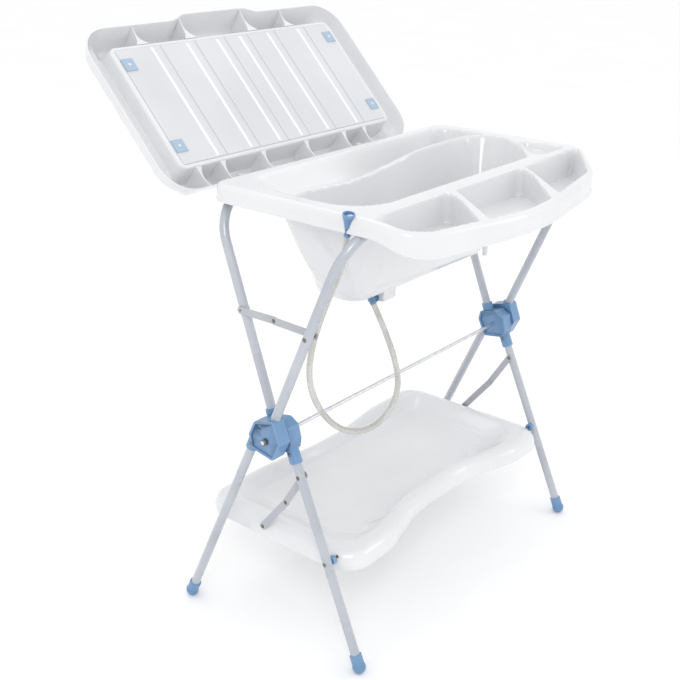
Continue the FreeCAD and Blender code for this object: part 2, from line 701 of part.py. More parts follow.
# ---------------------------------------------------------------- changing top

def top_outline(height, inset):
    """Plan of the changing top in its own sheet, with a bulge in the middle of its far edge."""
    half = size("TopHalfLength")
    near = size("TopNearV")
    far = size("TopFarV")
    bulge = size("TopBulge")
    radius = size("TopCornerRadius")
    wire = rounded_wire([
        (-half, near, height, radius), (half, near, height, radius), (half, far, height, radius),
        (130, far, height, 60), (95, far + bulge, height, 60), (-95, far + bulge, height, 60),
        (-130, far, height, 60), (-half, far, height, radius),
    ])
    return wire.makeOffset2D(-inset) if inset else wire


FAR_GUSSETS = [-246, -108, 84, 210]
NEAR_GUSSETS = [-225, -107, 33, 165, 240]


def changing_top_shell():
    """A tapered shell with a deep hollow border round a flat middle, and two hinge lugs."""
    depth = size("TopDepth")
    taper = size("TopTaper")
    wall = size("ShellWall")
    panel = size("PanelThickness")
    outer = loft(top_outline(0, 0), top_outline(-depth, taper))
    channel = loft(top_outline(1, wall), top_outline(-(depth - wall), taper + wall))
    half = size("PanelHalfLength")
    near = size("PanelNearV")
    far = size("PanelFarV")
    middle = block(-half - wall, half + wall, near - wall, far + wall, -depth, 1)
    shell = outer.cut(channel.cut(middle))
    well = prism(box_wire(-half, half, near, far, -depth - 1, 20), depth + 1 - 2 * panel)
    shell = shell.cut([well, block(-half, half, near, far, -panel, 2)])
    web = size("GussetHalfWidth")
    plates = []
    for places, v_low, v_high in ((FAR_GUSSETS, far, size("TopFarV") + 20),
                                  (NEAR_GUSSETS, size("TopNearV"), near)):
        plates += [block(u - web, u + web, v_low, v_high, -depth, -size("GussetDrop")) for u in places]
    shell = shell.fuse([plate.common(outer) for plate in plates])
    hinge_v, hinge_w = hinge_in_sheet()
    eye = size("LugRadius")
    lugs = []
    for u in (-size("HingeX"), size("HingeX")):
        arm = profile_along_x([
            (-38, -10), (-47, -2), (hinge_v + 8, 3 - hinge_w), (hinge_v - 6, 6 - hinge_w),
            (hinge_v - 8, -hinge_w - 4), (hinge_v, -hinge_w - 8), (-50, -20), (-44, -22),
        ], u - eye, u + eye)
        start = Vector(u - eye, hinge_v, -hinge_w)
        bore = Part.makeCylinder(size("HingeBoreRadius"), 4 * eye, start - X_AXIS * eye, X_AXIS)
        lugs.append(arm.fuse(Part.makeCylinder(eye, 2 * eye, start, X_AXIS)).cut(bore))
    shell = shell.fuse(lugs).removeSplitter()
    return node("changing_top_shell", placed_on_top(feature("changing_top_shell", shell)))


def top_placement():
    """From the changing top's own sheet to the object, with the top open."""
    return Placement(Vector(0, size("TopPlaneY"), size("TopPlaneZ")), Rotation(X_AXIS, size("TopTilt")))


def hinge_in_sheet():
    """The hinge axis in the top's sheet: v, and w behind the sheet."""
    local = top_placement().inverse().multVec(Vector(0, size("HingeY"), size("HingeZ")))
    return local.y, -local.z


def placed_on_top(item):
    item.Placement = top_placement()
    return item


PANEL_RIBS = [-232, -132, -42, 30, 121, 226]
CLIP_PLACES = [(u, v) for u in (-330, 330) for v in (48, 250)]


def top_panel():
    """Flat panel in the middle of the changing top, with ribs across it."""
    half = size("PanelHalfLength")
    near = size("PanelNearV")
    far = size("PanelFarV")
    plate = block(-half, half, near, far, -size("PanelThickness"), 0)
    rib = size("RibHalfWidth")
    margin = size("RibMargin")
    ribs = [block(u - rib, u + rib, near + margin, far - margin, -0.5, size("RibHeight"))
            for u in PANEL_RIBS]
    shape = plate.fuse(ribs).removeSplitter()
    return node("top_panel", placed_on_top(feature("top_panel", shape)))


def panel_clips():
    """Four square clips that hold the panel at its ends, and the push pins in them."""
    half = size("ClipSize") / 2
    clips = []
    pins = []
    for u, v in CLIP_PLACES:
        inward = -1 if u > 0 else 1
        middle = Vector(u + inward * (size("ClipEdge") + half), v, 0)
        clip = block(middle.x - half, middle.x + half, v - half, v + half, 0, size("ClipThickness"))
        clips.append(clip.cut(Part.makeCylinder(size("ClipBoreRadius"), 4, middle)))
        pins.append(Part.makeCylinder(size("ClipPinRadius"), size("ClipPinHeight"), middle))
    node("panel_clips", placed_on_top(feature("panel_clips", Part.makeCompound(clips))))
    node("clip_pins", placed_on_top(feature("clip_pins", Part.makeCompound(pins))))


def hinge_brackets():
    """Two brackets on the tub's back skirt, each with a pair of ears round a lug."""
    pieces = []
    back = size("BathBackY")
    y = size("HingeY")
    z = size("HingeZ")
    for x in (-size("HingeX"), size("HingeX")):
        plate = block(x - 14, x + 14, back, back + 3, z - 5, z + 25)
        bracket = plate
        for low in (x - 12, x + 9):
            ear = profile_along_x([(back + 2, z - 5), (y + 4, z - 8), (y + 8, z), (y + 4, z + 8),
                                   (back + 2, z + 25)], low, low + 3)
            bracket = bracket.fuse(ear)
        bore = Part.makeCylinder(size("PinSeatRadius"), 40, Vector(x - 20, y, z), X_AXIS)
        pieces.append(bracket.cut(bore).removeSplitter())
    return node("lid_hinge_brackets", feature("lid_hinge_brackets", Part.makeCompound(pieces)))


def hinge_pins():
    pins = []
    for index, x in enumerate((-size("HingeX"), size("HingeX"))):
        pins.append(along_x(f"hinge_pin_{index}", x - 13, x + 13, size("HingeY"), size("HingeZ"), 3,
                            Radius="Sizes.HingePinRadius"))
    return node("top_hinge_pins", grouped("top_hinge_pins", pins))


# ---------------------------------------------------------------- storage tray

# Corners (x, y, radius) of the right half of the tray's plan, from its back to its front.
TRAY_HALF_PLAN = [(60, 227, 250), (200, 248, 250), (350, 248, 45), (376, 205, 40), (376, -120, 60),
                  (345, -166, 45), (240, -166, 200), (90, -121, 250)]


def tray_outline(z, inset):
    """Plan of the tray, waisted in its middle."""
    right = [(x, y, z, radius) for x, y, radius in TRAY_HALF_PLAN]
    left = [(-x, y, z, radius) for x, y, radius in reversed(TRAY_HALF_PLAN)]
    wire = rounded_wire(right + left)
    return wire.makeOffset2D(-inset) if inset else wire


def storage_tray():
    """A shallow tray with a broad rolled rim, hung from the front legs at its ends."""
    rim = size("TrayRimZ")
    low = size("TrayBottomZ")
    wall = size("TrayWall")
    outer = prism(tray_outline(low, 0), rim - low)
    rim_width = size("TrayRimWidth")
    hollow = prism(tray_outline(low + wall, rim_width), rim - low)
    under = prism(tray_outline(low - 1, wall), rim - wall - low + 1)
    under = under.cut(prism(tray_outline(low - 2, rim_width - wall), rim - low + 4))
    shape = outer.cut([hollow, under])
    bores = []
    for y, z, radius in ((size("TrayPivotY"), size("TrayPivotZ"), size("TurningBoreRadius")),
                         (STRUT_BOTTOM_PIVOT[0], STRUT_BOTTOM_PIVOT[1], size("RivetBoreRadius"))):
        bores.append(Part.makeCylinder(radius, 800, Vector(-400, y, z), X_AXIS))
    return node("storage_tray", feature("storage_tray", shape.cut(bores)))


# ---------------------------------------------------------------- build the stand

SIDES = (-1, 1)
TRAY_PIVOT = (size("TrayPivotY"), size("TrayPivotZ"))

bent_tube("front_top_tube", FRONT_TOP, [(-1, BRACE_FRONT_PIVOT)])
bent_tube("rear_top_tube", REAR_TOP, [(-1, BRACE_REAR_PIVOT)])
for side in SIDES:
    leg("rear_leg_" + side_name(side), REAR_LEG, side, "RearLegTopZ", [OUTER_HUB_RIVET])
    leg("front_leg_" + side_name(side), FRONT_LEG, side, "FrontLegTopZ",
        [INNER_HUB_RIVET, STRUT_TOP_PIVOT, TRAY_PIVOT])
    outer_hub(side)
    inner_hub(side)

rod = along_x("cross_rod", -size("RodHalfLength"), size("RodHalfLength"), 0, size("PivotZ"), 4,
              Radius="Sizes.RodRadius", Height="2 * Sizes.RodHalfLength")
node("cross_rod", rod)

nuts = []
for side in SIDES:
    blank = add("Part::Prism", "nut_blank_" + side_name(side))
    blank.Polygon = 6
    blank.Circumradius = 7.5
    bind(blank, Circumradius="Sizes.NutAcrossFlats / sqrt(3)", Height="Sizes.NutOuterX - Sizes.NutInnerX")
    near = size("NutInnerX") if side > 0 else -size("NutOuterX")
    blank.Placement = Placement(Vector(near, 0, size("PivotZ")), Rotation(Z_AXIS, X_AXIS))
    thread = rod_bore("nut_thread_" + side_name(side), side)
    nuts.append(cut("nut_" + side_name(side), blank, [thread]))
node("rod_nuts", grouped("rod_nuts", nuts))

node("rear_feet", grouped("rear_feet", [foot("rear_foot_" + side_name(s), REAR_LEG, s) for s in SIDES]))
node("front_feet", grouped("front_feet", [foot("front_foot_" + side_name(s), FRONT_LEG, s) for s in SIDES]))

node("outer_hub_rivets", grouped("outer_hub_rivets", [
    rivet("outer_hub_rivet_" + side_name(s), s, size("OuterRivetInnerX"), size("OuterHubOuterX"),
          OUTER_HUB_RIVET, head_inside=False) for s in SIDES]))
node("inner_hub_rivets", grouped("inner_hub_rivets", [
    rivet("inner_hub_rivet_" + side_name(s), s, size("InnerRivetInnerX"), size("InnerRivetOuterX"),
          INNER_HUB_RIVET) for s in SIDES]))

thickness = size("LinkThickness")
leg_at_strut = abs(FRONT_LEG.at(1, STRUT_TOP_PIVOT[1]).x)
leg_at_tray = abs(FRONT_LEG.at(1, TRAY_PIVOT[1]).x)
tube_radius = size("TubeRadius")
node("strut_top_rivets", grouped("strut_top_rivets", [
    rivet("strut_top_rivet_" + side_name(s), s, STRUT_UPPER_LAYER, leg_at_strut + tube_radius,
          STRUT_TOP_PIVOT) for s in SIDES]))
node("tray_pivot_rivets", grouped("tray_pivot_rivets", [
    rivet("tray_pivot_rivet_" + side_name(s), s, size("TrayRivetInnerX"), leg_at_tray + tube_radius,
          TRAY_PIVOT) for s in SIDES]))
node("strut_bottom_rivets", grouped("strut_bottom_rivets", [
    rivet("strut_bottom_rivet_" + side_name(s), s, size("TrayHalfLength") - size("TrayWall"),
          STRUT_LOWER_LAYER + thickness, STRUT_BOTTOM_PIVOT) for s in SIDES]))

spacers = []
for side in SIDES:
    ring = along_x("spacer_ring_" + side_name(side), side * size("SpacerInnerX"),
                   side * size("SpacerOuterX"), *TRAY_PIVOT, 9, Radius="Sizes.SpacerRadius")
    hole = rivet_bore("spacer_hole_" + side_name(side), side, size("SpacerInnerX") - 5,
                      size("SpacerOuterX") + 5, TRAY_PIVOT)
    spacers.append(cut("spacer_" + side_name(side), ring, [hole]))
node("tray_spacers", grouped("tray_spacers", spacers))

turning = size("TurningBoreRadius")
fixed = size("RivetBoreRadius")
for side in SIDES:
    word = side_name(side)
    flat_bar("strut_upper_link_" + word, side, STRUT_UPPER_LAYER, STRUT_TOP_PIVOT, STRUT_KNEE,
             turning, fixed)
    flat_bar("strut_lower_link_" + word, side, STRUT_LOWER_LAYER, STRUT_BOTTOM_PIVOT, STRUT_KNEE,
             turning, 0)
    node("strut_knee_rivet_" + word,
         rivet("strut_knee_rivet_" + word, side, STRUT_UPPER_LAYER, STRUT_UPPER_LAYER + thickness,
               STRUT_KNEE, head_inside=False))

flat_bar("brace_rear_link", -1, BRACE_REAR_LAYER, BRACE_REAR_PIVOT, BRACE_KNEE, turning, 0)
flat_bar("brace_front_link", -1, BRACE_FRONT_LAYER, BRACE_FRONT_PIVOT, BRACE_KNEE, turning, fixed)
node("brace_knee_rivet",
     rivet("brace_knee_rivet", -1, BRACE_FRONT_LAYER, BRACE_FRONT_LAYER + thickness, BRACE_KNEE,
           head_inside=False))
rear_tube_x = abs(REAR_TOP.at(1, BRACE_REAR_PIVOT[1]).x)
front_tube_x = abs(FRONT_TOP.at(1, BRACE_FRONT_PIVOT[1]).x)
node("brace_rear_rivet",
     rivet("brace_rear_rivet", -1, rear_tube_x - tube_radius, BRACE_REAR_LAYER + thickness,
           BRACE_REAR_PIVOT, head_outside=False))
node("brace_front_rivet",
     rivet("brace_front_rivet", -1, BRACE_FRONT_LAYER, front_tube_x + tube_radius, BRACE_FRONT_PIVOT))

storage_tray()
node("bath_tub", feature("bath_tub", bath_tub()))
drain_elbow()
hose_plug()
drain_hose()
hinge_brackets()
changing_top_shell()
top_panel()
panel_clips()
hinge_pins()

# ---------------------------------------------------------------- place, test and write

for item in nodes.values():
    item.Placement = Placement(Vector(0, size("ShiftY"), 0), Rotation()).multiply(item.Placement)
doc.recompute()

for item in doc.Objects:
    if "Invalid" in item.State or "Error" in item.State:
        raise RuntimeError(f"{item.Name} failed: {item.State}")
whole = FreeCAD.BoundBox()
os.makedirs("parts", exist_ok=True)
for name, item in nodes.items():
    if item.Shape.isNull() or not item.Shape.isValid() or not item.Shape.Solids:
        raise RuntimeError(f"{name} has no valid solid")
    whole.add(item.Shape.BoundBox)
for name, item in nodes.items():
    item.Shape.exportStep(f"parts/{name}.step")
    box = item.Shape.BoundBox
    print(f"{name:26s} solids {len(item.Shape.Solids)} volume {item.Shape.Volume / 1000:9.2f} cm3 "
          f"x {box.XMin:7.1f} {box.XMax:7.1f} y {box.YMin:7.1f} {box.YMax:7.1f} "
          f"z {box.ZMin:6.1f} {box.ZMax:7.1f}")
print(f"whole x {whole.XMin:.2f} {whole.XMax:.2f} y {whole.YMin:.2f} {whole.YMax:.2f} "
      f"z {whole.ZMin:.2f} {whole.ZMax:.2f}, {len(nodes)} nodes")
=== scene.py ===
import json
from math import acos, ceil, cos, degrees, pi, radians, sin, tan

import bmesh
import bpy
import numpy as np
from mathutils import Matrix, Vector


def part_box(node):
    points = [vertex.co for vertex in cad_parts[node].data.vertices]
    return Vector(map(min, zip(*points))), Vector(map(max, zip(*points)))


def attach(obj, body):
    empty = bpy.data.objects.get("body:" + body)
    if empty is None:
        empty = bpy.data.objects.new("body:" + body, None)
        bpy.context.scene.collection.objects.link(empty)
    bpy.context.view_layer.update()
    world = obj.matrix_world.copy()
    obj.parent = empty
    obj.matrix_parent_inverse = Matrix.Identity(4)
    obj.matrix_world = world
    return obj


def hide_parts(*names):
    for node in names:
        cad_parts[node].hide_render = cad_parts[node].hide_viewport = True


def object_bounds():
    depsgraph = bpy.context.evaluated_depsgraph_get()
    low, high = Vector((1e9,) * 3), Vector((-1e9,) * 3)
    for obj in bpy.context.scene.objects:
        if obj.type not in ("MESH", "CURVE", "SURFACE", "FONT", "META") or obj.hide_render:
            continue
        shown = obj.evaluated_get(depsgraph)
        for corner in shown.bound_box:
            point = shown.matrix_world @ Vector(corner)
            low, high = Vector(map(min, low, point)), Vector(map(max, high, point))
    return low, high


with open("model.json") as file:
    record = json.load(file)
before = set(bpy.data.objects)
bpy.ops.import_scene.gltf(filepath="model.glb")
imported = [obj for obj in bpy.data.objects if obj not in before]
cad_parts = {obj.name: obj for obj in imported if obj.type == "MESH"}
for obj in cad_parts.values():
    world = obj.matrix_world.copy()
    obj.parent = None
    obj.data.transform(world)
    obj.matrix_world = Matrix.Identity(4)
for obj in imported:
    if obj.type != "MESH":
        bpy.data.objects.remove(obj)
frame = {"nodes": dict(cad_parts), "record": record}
cad_low, cad_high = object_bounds()

# Shapes are worked out in millimetres in the stand's own axes: x along the tub, y = 0 at the
# cross rod and positive towards the changing top, z up from the floor.
MM = 0.001
rod_low, rod_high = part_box("cross_rod")
PIVOT_Y = (rod_low.y + rod_high.y) / 2


def metres(x, y, z):
    """A point of the stand's axes, in mm, as a point of the frame, in metres."""
    return Vector((x * MM, y * MM + PIVOT_Y, z * MM))


def link(name, data):
    """A new object in the scene."""
    item = bpy.data.objects.new(name, data)
    bpy.context.scene.collection.objects.link(item)
    return item


# ---------------------------------------------------------------- camera

LENS, SENSOR = 57.51, 36
CLIP_START, CLIP_END = 0.1, 50
CAMERA_PLACE = (-1782.8, -1298.3, 1448.9)
CAMERA_YAW, CAMERA_PITCH, CAMERA_ROLL = radians(39.6), radians(22.5), radians(0.4)


def make_camera():
    """The camera, turned by yaw, pitch and roll."""
    camera = link("camera", bpy.data.cameras.new("camera"))
    camera.data.lens = LENS
    camera.data.sensor_width = SENSOR
    camera.data.clip_start, camera.data.clip_end = CLIP_START, CLIP_END
    ahead = Vector((cos(CAMERA_PITCH) * cos(CAMERA_YAW), cos(CAMERA_PITCH) * sin(CAMERA_YAW),
                    -sin(CAMERA_PITCH)))
    level = Vector((sin(CAMERA_YAW), -cos(CAMERA_YAW), 0))
    upright = level.cross(ahead)
    right = level * cos(CAMERA_ROLL) + upright * sin(CAMERA_ROLL)
    up = upright * cos(CAMERA_ROLL) - level * sin(CAMERA_ROLL)
    place = Matrix((right, up, -ahead)).transposed().to_4x4()
    place.translation = metres(*CAMERA_PLACE)
    camera.matrix_world = place
    bpy.context.scene.camera = camera


make_camera()

# ---------------------------------------------------------------- materials

# Places of the changing panel's raised ribs along X, in mm, and of the groove beside each one, which
# the grey sheet darkens as painted shade.
RIBS = [-232, -132, -42, 30, 121, 226]
GROOVE_AFTER = 25.0
GROOVE_SHADE_PLACES = [(rib + GROOVE_AFTER) * MM for rib in RIBS]
GROOVE_SHADE_HALF_WIDTH = 2.4 * MM

# The outer hubs' sunken end faces lie between these distances from the middle, in metres;
# RECESS_SHADE darkens the blue there as painted shade.
RECESS_FROM, RECESS_TO = 0.4355, 0.4385
RECESS_SHADE = 0.42

# The sockets of a Mix node that carry colours.
MIX_FACTOR, MIX_FIRST, MIX_SECOND, MIX_RESULT = 0, 6, 7, 2

# The pointiness of flats and of fully rubbed outer edges.
FLAT_POINTINESS, EDGE_POINTINESS = 0.47, 0.58


def linear(red, green, blue):
    """A display colour, 0 to 255, as the linear colour that shaders take."""
    parts = [c / 255 for c in (red, green, blue)]
    return tuple(c / 12.92 if c <= 0.04045 else ((c + 0.055) / 1.055) ** 2.4 for c in parts) + (1,)


class Surface:
    """A node material in the making: a principled shader and the nodes that feed it."""

    def __init__(self, name):
        self.material = bpy.data.materials.new(name)
        self.material.use_nodes = True
        self.nodes = self.material.node_tree.nodes
        self.links = self.material.node_tree.links
        self.shader = self.nodes["Principled BSDF"]
        self.place = self.nodes.new("ShaderNodeTexCoord").outputs["Object"]

    def set(self, **values):
        """Values on the shader's own sockets."""
        for key, value in values.items():
            self.shader.inputs[key.replace("_", " ")].default_value = value
        return self

    def stretched(self, scale):
        """The object's coordinates, in metres, times a scale along each axis."""
        mapping = self.nodes.new("ShaderNodeMapping")
        mapping.inputs["Scale"].default_value = scale
        self.links.new(self.place, mapping.inputs["Vector"])
        return mapping.outputs["Vector"]

    def noise(self, scale, detail, stretch=None):
        """A noise factor, stretched along the axes if asked."""
        texture = self.nodes.new("ShaderNodeTexNoise")
        texture.inputs["Scale"].default_value = scale
        texture.inputs["Detail"].default_value = detail
        place = self.stretched(stretch) if stretch else self.place
        self.links.new(place, texture.inputs["Vector"])
        return texture.outputs["Fac"]

    def ramp(self, factor, stops):
        """Colours or grey levels along a factor, as (position, colour)."""
        ramp = self.nodes.new("ShaderNodeValToRGB")
        elements = ramp.color_ramp.elements
        while len(elements) < len(stops):
            elements.new(0.5)
        for element, (position, colour) in zip(elements, stops):
            element.position = position
            is_colour = isinstance(colour, tuple)
            element.color = colour if is_colour else (colour, colour, colour, 1)
        self.links.new(factor, ramp.inputs["Fac"])
        return ramp.outputs["Color"]

    def feed(self, socket, value):
        """Links a socket to another one, or gives it a value."""
        if isinstance(value, bpy.types.NodeSocket):
            self.links.new(value, socket)
        else:
            socket.default_value = value

    def mixed(self, factor, first, second):
        """The first colour where the factor is 0, the second where it is 1."""
        mix = self.nodes.new("ShaderNodeMix")
        mix.data_type = "RGBA"
        self.feed(mix.inputs[MIX_FACTOR], factor)
        self.feed(mix.inputs[MIX_FIRST], first)
        self.feed(mix.inputs[MIX_SECOND], second)
        return mix.outputs[MIX_RESULT]

    def colour(self, socket):
        """The base colour, from a socket."""
        self.links.new(socket, self.shader.inputs["Base Color"])
        return self

    def roughness(self, factor, low, high):
        """Roughness from low to high along a factor."""
        grey = self.nodes.new("ShaderNodeMapRange")
        grey.inputs["To Min"].default_value = low
        grey.inputs["To Max"].default_value = high
        self.links.new(factor, grey.inputs["Value"])
        self.links.new(grey.outputs["Result"], self.shader.inputs["Roughness"])
        return self

    def bump(self, heights, distance):
        """Relief from one or more height sockets, each (socket, strength)."""
        normal = None
        for height, strength in heights:
            bump = self.nodes.new("ShaderNodeBump")
            bump.inputs["Strength"].default_value = strength
            bump.inputs["Distance"].default_value = distance
            self.links.new(height, bump.inputs["Height"])
            if normal:
                self.links.new(normal, bump.inputs["Normal"])
            normal = bump.outputs["Normal"]
        self.links.new(normal, self.shader.inputs["Normal"])
        return self

    def math(self, operation, *values):
        """One step of arithmetic on sockets and numbers."""
        step = self.nodes.new("ShaderNodeMath")
        step.operation = operation
        for socket, value in zip(step.inputs, values):
            self.feed(socket, value)
        return step.outputs[0]

    def across(self, kind):
        """The X part of the geometry's Position or True Normal."""
        geometry = self.nodes.new("ShaderNodeNewGeometry")
        parts = self.nodes.new("ShaderNodeSeparateXYZ")
        self.links.new(geometry.outputs[kind], parts.inputs[0])
        return parts.outputs["X"]

    def stripes(self, places, half):
        """1 within a half width of each place along X, in metres, and 0 elsewhere."""
        position = self.across("Position")
        total = None
        for place in places:
            hit = self.math("COMPARE", position, place, half)
            total = self.math("ADD", total, hit) if total else hit
        return total

    def hub_recess_shade_mask(self):
        """1 on the outer hubs' sunken end faces, where painted shade goes, 0 elsewhere."""
        out = self.math("ABSOLUTE", self.across("Position"))
        deep = self.math("MULTIPLY", self.math("GREATER_THAN", out, RECESS_FROM),
                         self.math("LESS_THAN", out, RECESS_TO))
        facing = self.math("ABSOLUTE", self.across("True Normal"))
        return self.math("MULTIPLY", deep, self.math("GREATER_THAN", facing, 0.9))

    def edges(self):
        """0 in hollows and on flats, 1 on rubbed outer edges."""
        geometry = self.nodes.new("ShaderNodeNewGeometry")
        stops = [(FLAT_POINTINESS, 0.0), (EDGE_POINTINESS, 1.0)]
        return self.ramp(geometry.outputs["Pointiness"], stops)


def painted_tube(name, light, shade):
    """Powder coat: a fine orange peel, faint blotches and scuffs, and a slight sheen."""
    surface = Surface(name)
    blotch = surface.noise(9, 4)
    peel = surface.noise(900, 2)
    wear = surface.ramp(surface.noise(60, 5, (1, 1, 0.3)), [(0.66, 0.0), (0.8, 0.1)])
    base = surface.ramp(blotch, [(0.35, shade), (0.65, light)])
    surface.colour(surface.mixed(wear, base, shade))
    surface.set(Metallic=0.1, Coat_Weight=0.6, Coat_Roughness=0.12)
    return surface.roughness(blotch, 0.22, 0.34).bump([(peel, 0.08)], 0.0002).material


def moulded(name, light, shade, rough, grain, shade_recess=False):
    """Moulded plastic: flow marks, a fine grain and paler rubbed edges, with painted shade in a
    recess if asked.
    """
    surface = Surface(name)
    flow = surface.noise(14, 5, (1, 1.6, 0.6))
    fine = surface.noise(1400, 2)
    base = surface.ramp(flow, [(0.3, shade), (0.7, light)])
    rubbed = tuple(min(1, c * 1.25 + 0.02) for c in light[:3]) + (1,)
    if shade_recess:
        # Painted shade: the colour is darkened on the hubs' sunken end faces.
        deep = tuple(c * RECESS_SHADE for c in shade[:3]) + (1,)
        base = surface.mixed(surface.hub_recess_shade_mask(), base, deep)
    surface.colour(surface.mixed(surface.edges(), base, rubbed))
    surface.set(Coat_Weight=0.25, Coat_Roughness=0.15)
    surface.roughness(flow, rough - 0.05, rough + 0.07)
    return surface.bump([(fine, grain)], 0.0002).material


def glossy_white(name, light, shade):
    """Glossy white plastic: slightly translucent, with long soft ripples and faint scuffs."""
    surface = Surface(name)
    cloud = surface.noise(5, 4)
    ripple = surface.noise(22, 1, (1, 1, 0.7))
    scuff = surface.ramp(surface.noise(260, 6, (1, 0.25, 1)), [(0.62, 0.0), (0.8, 1.0)])
    surface.colour(surface.ramp(cloud, [(0.3, shade), (0.7, light)]))
    surface.set(Subsurface_Weight=0.1, Subsurface_Radius=(0.02, 0.02, 0.02), Subsurface_Scale=0.3,
                Coat_Weight=0.3, Coat_Roughness=0.06, IOR=1.49)
    surface.roughness(scuff, 0.14, 0.3)
    return surface.bump([(ripple, 0.10), (scuff, 0.02)], 0.002).material


def grey_sheet(name):
    """Pale grey pressed sheet with a faint grain, and painted shade along its grooves."""
    surface = Surface(name)
    cloud = surface.noise(6, 4)
    grain = surface.noise(300, 4, (1, 0.2, 0.2))
    base = surface.ramp(cloud, [(0.3, linear(208, 209, 213)), (0.7, linear(215, 216, 220))])
    # Painted shade: a narrow darker grey stripe along each groove.
    groove_shade = surface.stripes(GROOVE_SHADE_PLACES, GROOVE_SHADE_HALF_WIDTH)
    surface.colour(surface.mixed(groove_shade, base, linear(198, 199, 203)))
    surface.set(Coat_Weight=0.15, Coat_Roughness=0.25)
    return surface.roughness(grain, 0.3, 0.45).bump([(grain, 0.06)], 0.0005).material


def metal(name, light, shade, rough, stretch):
    """Plated steel with brush marks and duller patches."""
    surface = Surface(name)
    brush = surface.noise(700, 4, stretch)
    patch = surface.noise(80, 3)
    surface.colour(surface.ramp(patch, [(0.35, shade), (0.65, light)]))
    surface.set(Metallic=1.0)
    surface.roughness(brush, rough - 0.08, rough + 0.12)
    return surface.bump([(brush, 0.04)], 0.0001).material


def clear_tube(name):
    """A clear soft tube with a faint haze."""
    surface = Surface(name)
    haze = surface.noise(30, 2)
    surface.colour(surface.ramp(haze, [(0.3, linear(206, 205, 200)), (0.7, linear(222, 222, 218))]))
    surface.set(Transmission_Weight=0.7, IOR=1.4, Coat_Weight=0.4, Coat_Roughness=0.08)
    return surface.roughness(haze, 0.1, 0.2).bump([(haze, 0.02)], 0.0003).material


WHITE = glossy_white("white_plastic", linear(225, 226, 228), linear(219, 220, 222))
# Painted highlight: the panel's ribs get a brighter white than the tub's plastic, standing in for
# the light along each rib.
RIB_HIGHLIGHT_WHITE = glossy_white("rib_highlight_white", linear(250, 250, 251), linear(243, 243, 245))
FRAME_PAINT = painted_tube("frame_paint", linear(184, 189, 197), linear(172, 177, 186))
LINK_PAINT = painted_tube("link_paint", linear(178, 181, 187), linear(165, 168, 175))
BLUE = moulded("blue_plastic", linear(92, 129, 167), linear(82, 118, 156), 0.32, 0.2, True)
LIGHT_BLUE = moulded("light_blue_plastic", linear(142, 163, 182), linear(130, 152, 172),
                     0.3, 0.15)
GREY = grey_sheet("grey_panel")
BRIGHT = metal("bright_steel", linear(138, 134, 128), linear(104, 101, 96), 0.26, (1, 1, 1))
ROD = metal("rod_steel", linear(226, 227, 231), linear(212, 214, 219), 0.34, (0.05, 1, 1))
CLEAR = clear_tube("clear_hose")

FINISHES = {
    "frame_paint": FRAME_PAINT, "link_paint": LINK_PAINT, "rod_steel": ROD,
    "bright_steel": BRIGHT, "blue_plastic": BLUE, "light_blue_plastic": LIGHT_BLUE,
    "white_plastic": WHITE, "grey_panel": GREY, "clear_hose": CLEAR,
}

for row in frame["record"]["subparts"]:
    item = frame["nodes"][row["node"]]
    item.data.materials.clear()
    item.data.materials.append(FINISHES[row["material_slot"]])

# ---------------------------------------------------------------- drain hose

# The same route as the hose's in the CAD source, from the drain elbow to the plug on the rim.
HOSE_ROUTE = [
    (-166, -48, 681), (-176, -84, 640), (-194, -125, 594), (-214, -153, 550), (-252, -160, 509),
    (-300, -146, 481), (-347, -115, 488), (-376, -84, 533), (-387, -67, 592), (-386, -73, 660),
    (-379, -92, 728), (-374, -117, 790), (-374, -143, 848), (-379, -151, 893),
]
HOSE_RADIUS = 6.0


def make_hose():
    """The drain hose, a round cord along its route."""
    curve = bpy.data.curves.new("hose", "CURVE")
    curve.dimensions = "3D"
    spline = curve.splines.new("NURBS")
    spline.points.add(len(HOSE_ROUTE) - 1)
    for point, place in zip(spline.points, HOSE_ROUTE):
        point.co = (*metres(*place), 1)
    spline.order_u = 3
    spline.use_endpoint_u = True
    spline.resolution_u = 12
    curve.bevel_depth = HOSE_RADIUS * MM
    curve.bevel_resolution = 6
    curve.use_fill_caps = True
    hose = link("hose", curve)
    hose.data.materials.append(CLEAR)
    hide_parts("drain_hose")
    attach(hose, "bath")


make_hose()

# ---------------------------------------------------------------- outlines and fields


ARC_STEP_DEGREES = 7


def rounded(corners):
    """A closed polygon through corners (x, y, radius), with an arc in place of each corner."""
    points = []
    count = len(corners)
    for index, (x, y, radius) in enumerate(corners):
        here = Vector((x, y))
        before = (Vector(corners[index - 1][:2]) - here).normalized()
        after = (Vector(corners[(index + 1) % count][:2]) - here).normalized()
        turn = pi - acos(max(-1.0, min(1.0, before.dot(after))))
        reach = radius * tan(turn / 2)
        centre = here + (before + after).normalized() * (radius / cos(turn / 2))
        start = here + before * reach - centre
        sweep = turn if before.cross(after) < 0 else -turn
        steps = max(2, ceil(degrees(turn) / ARC_STEP_DEGREES))
        for step in range(steps + 1):
            angle = sweep * step / steps
            points.append(centre + Vector((start.x * cos(angle) - start.y * sin(angle),
                                           start.x * sin(angle) + start.y * cos(angle))))
    return np.array(points)


def mirrored(half):
    """The corners of a right half, from back to front, and its mirror image."""
    return half + [(-x, y, radius) for x, y, radius in reversed(half)]


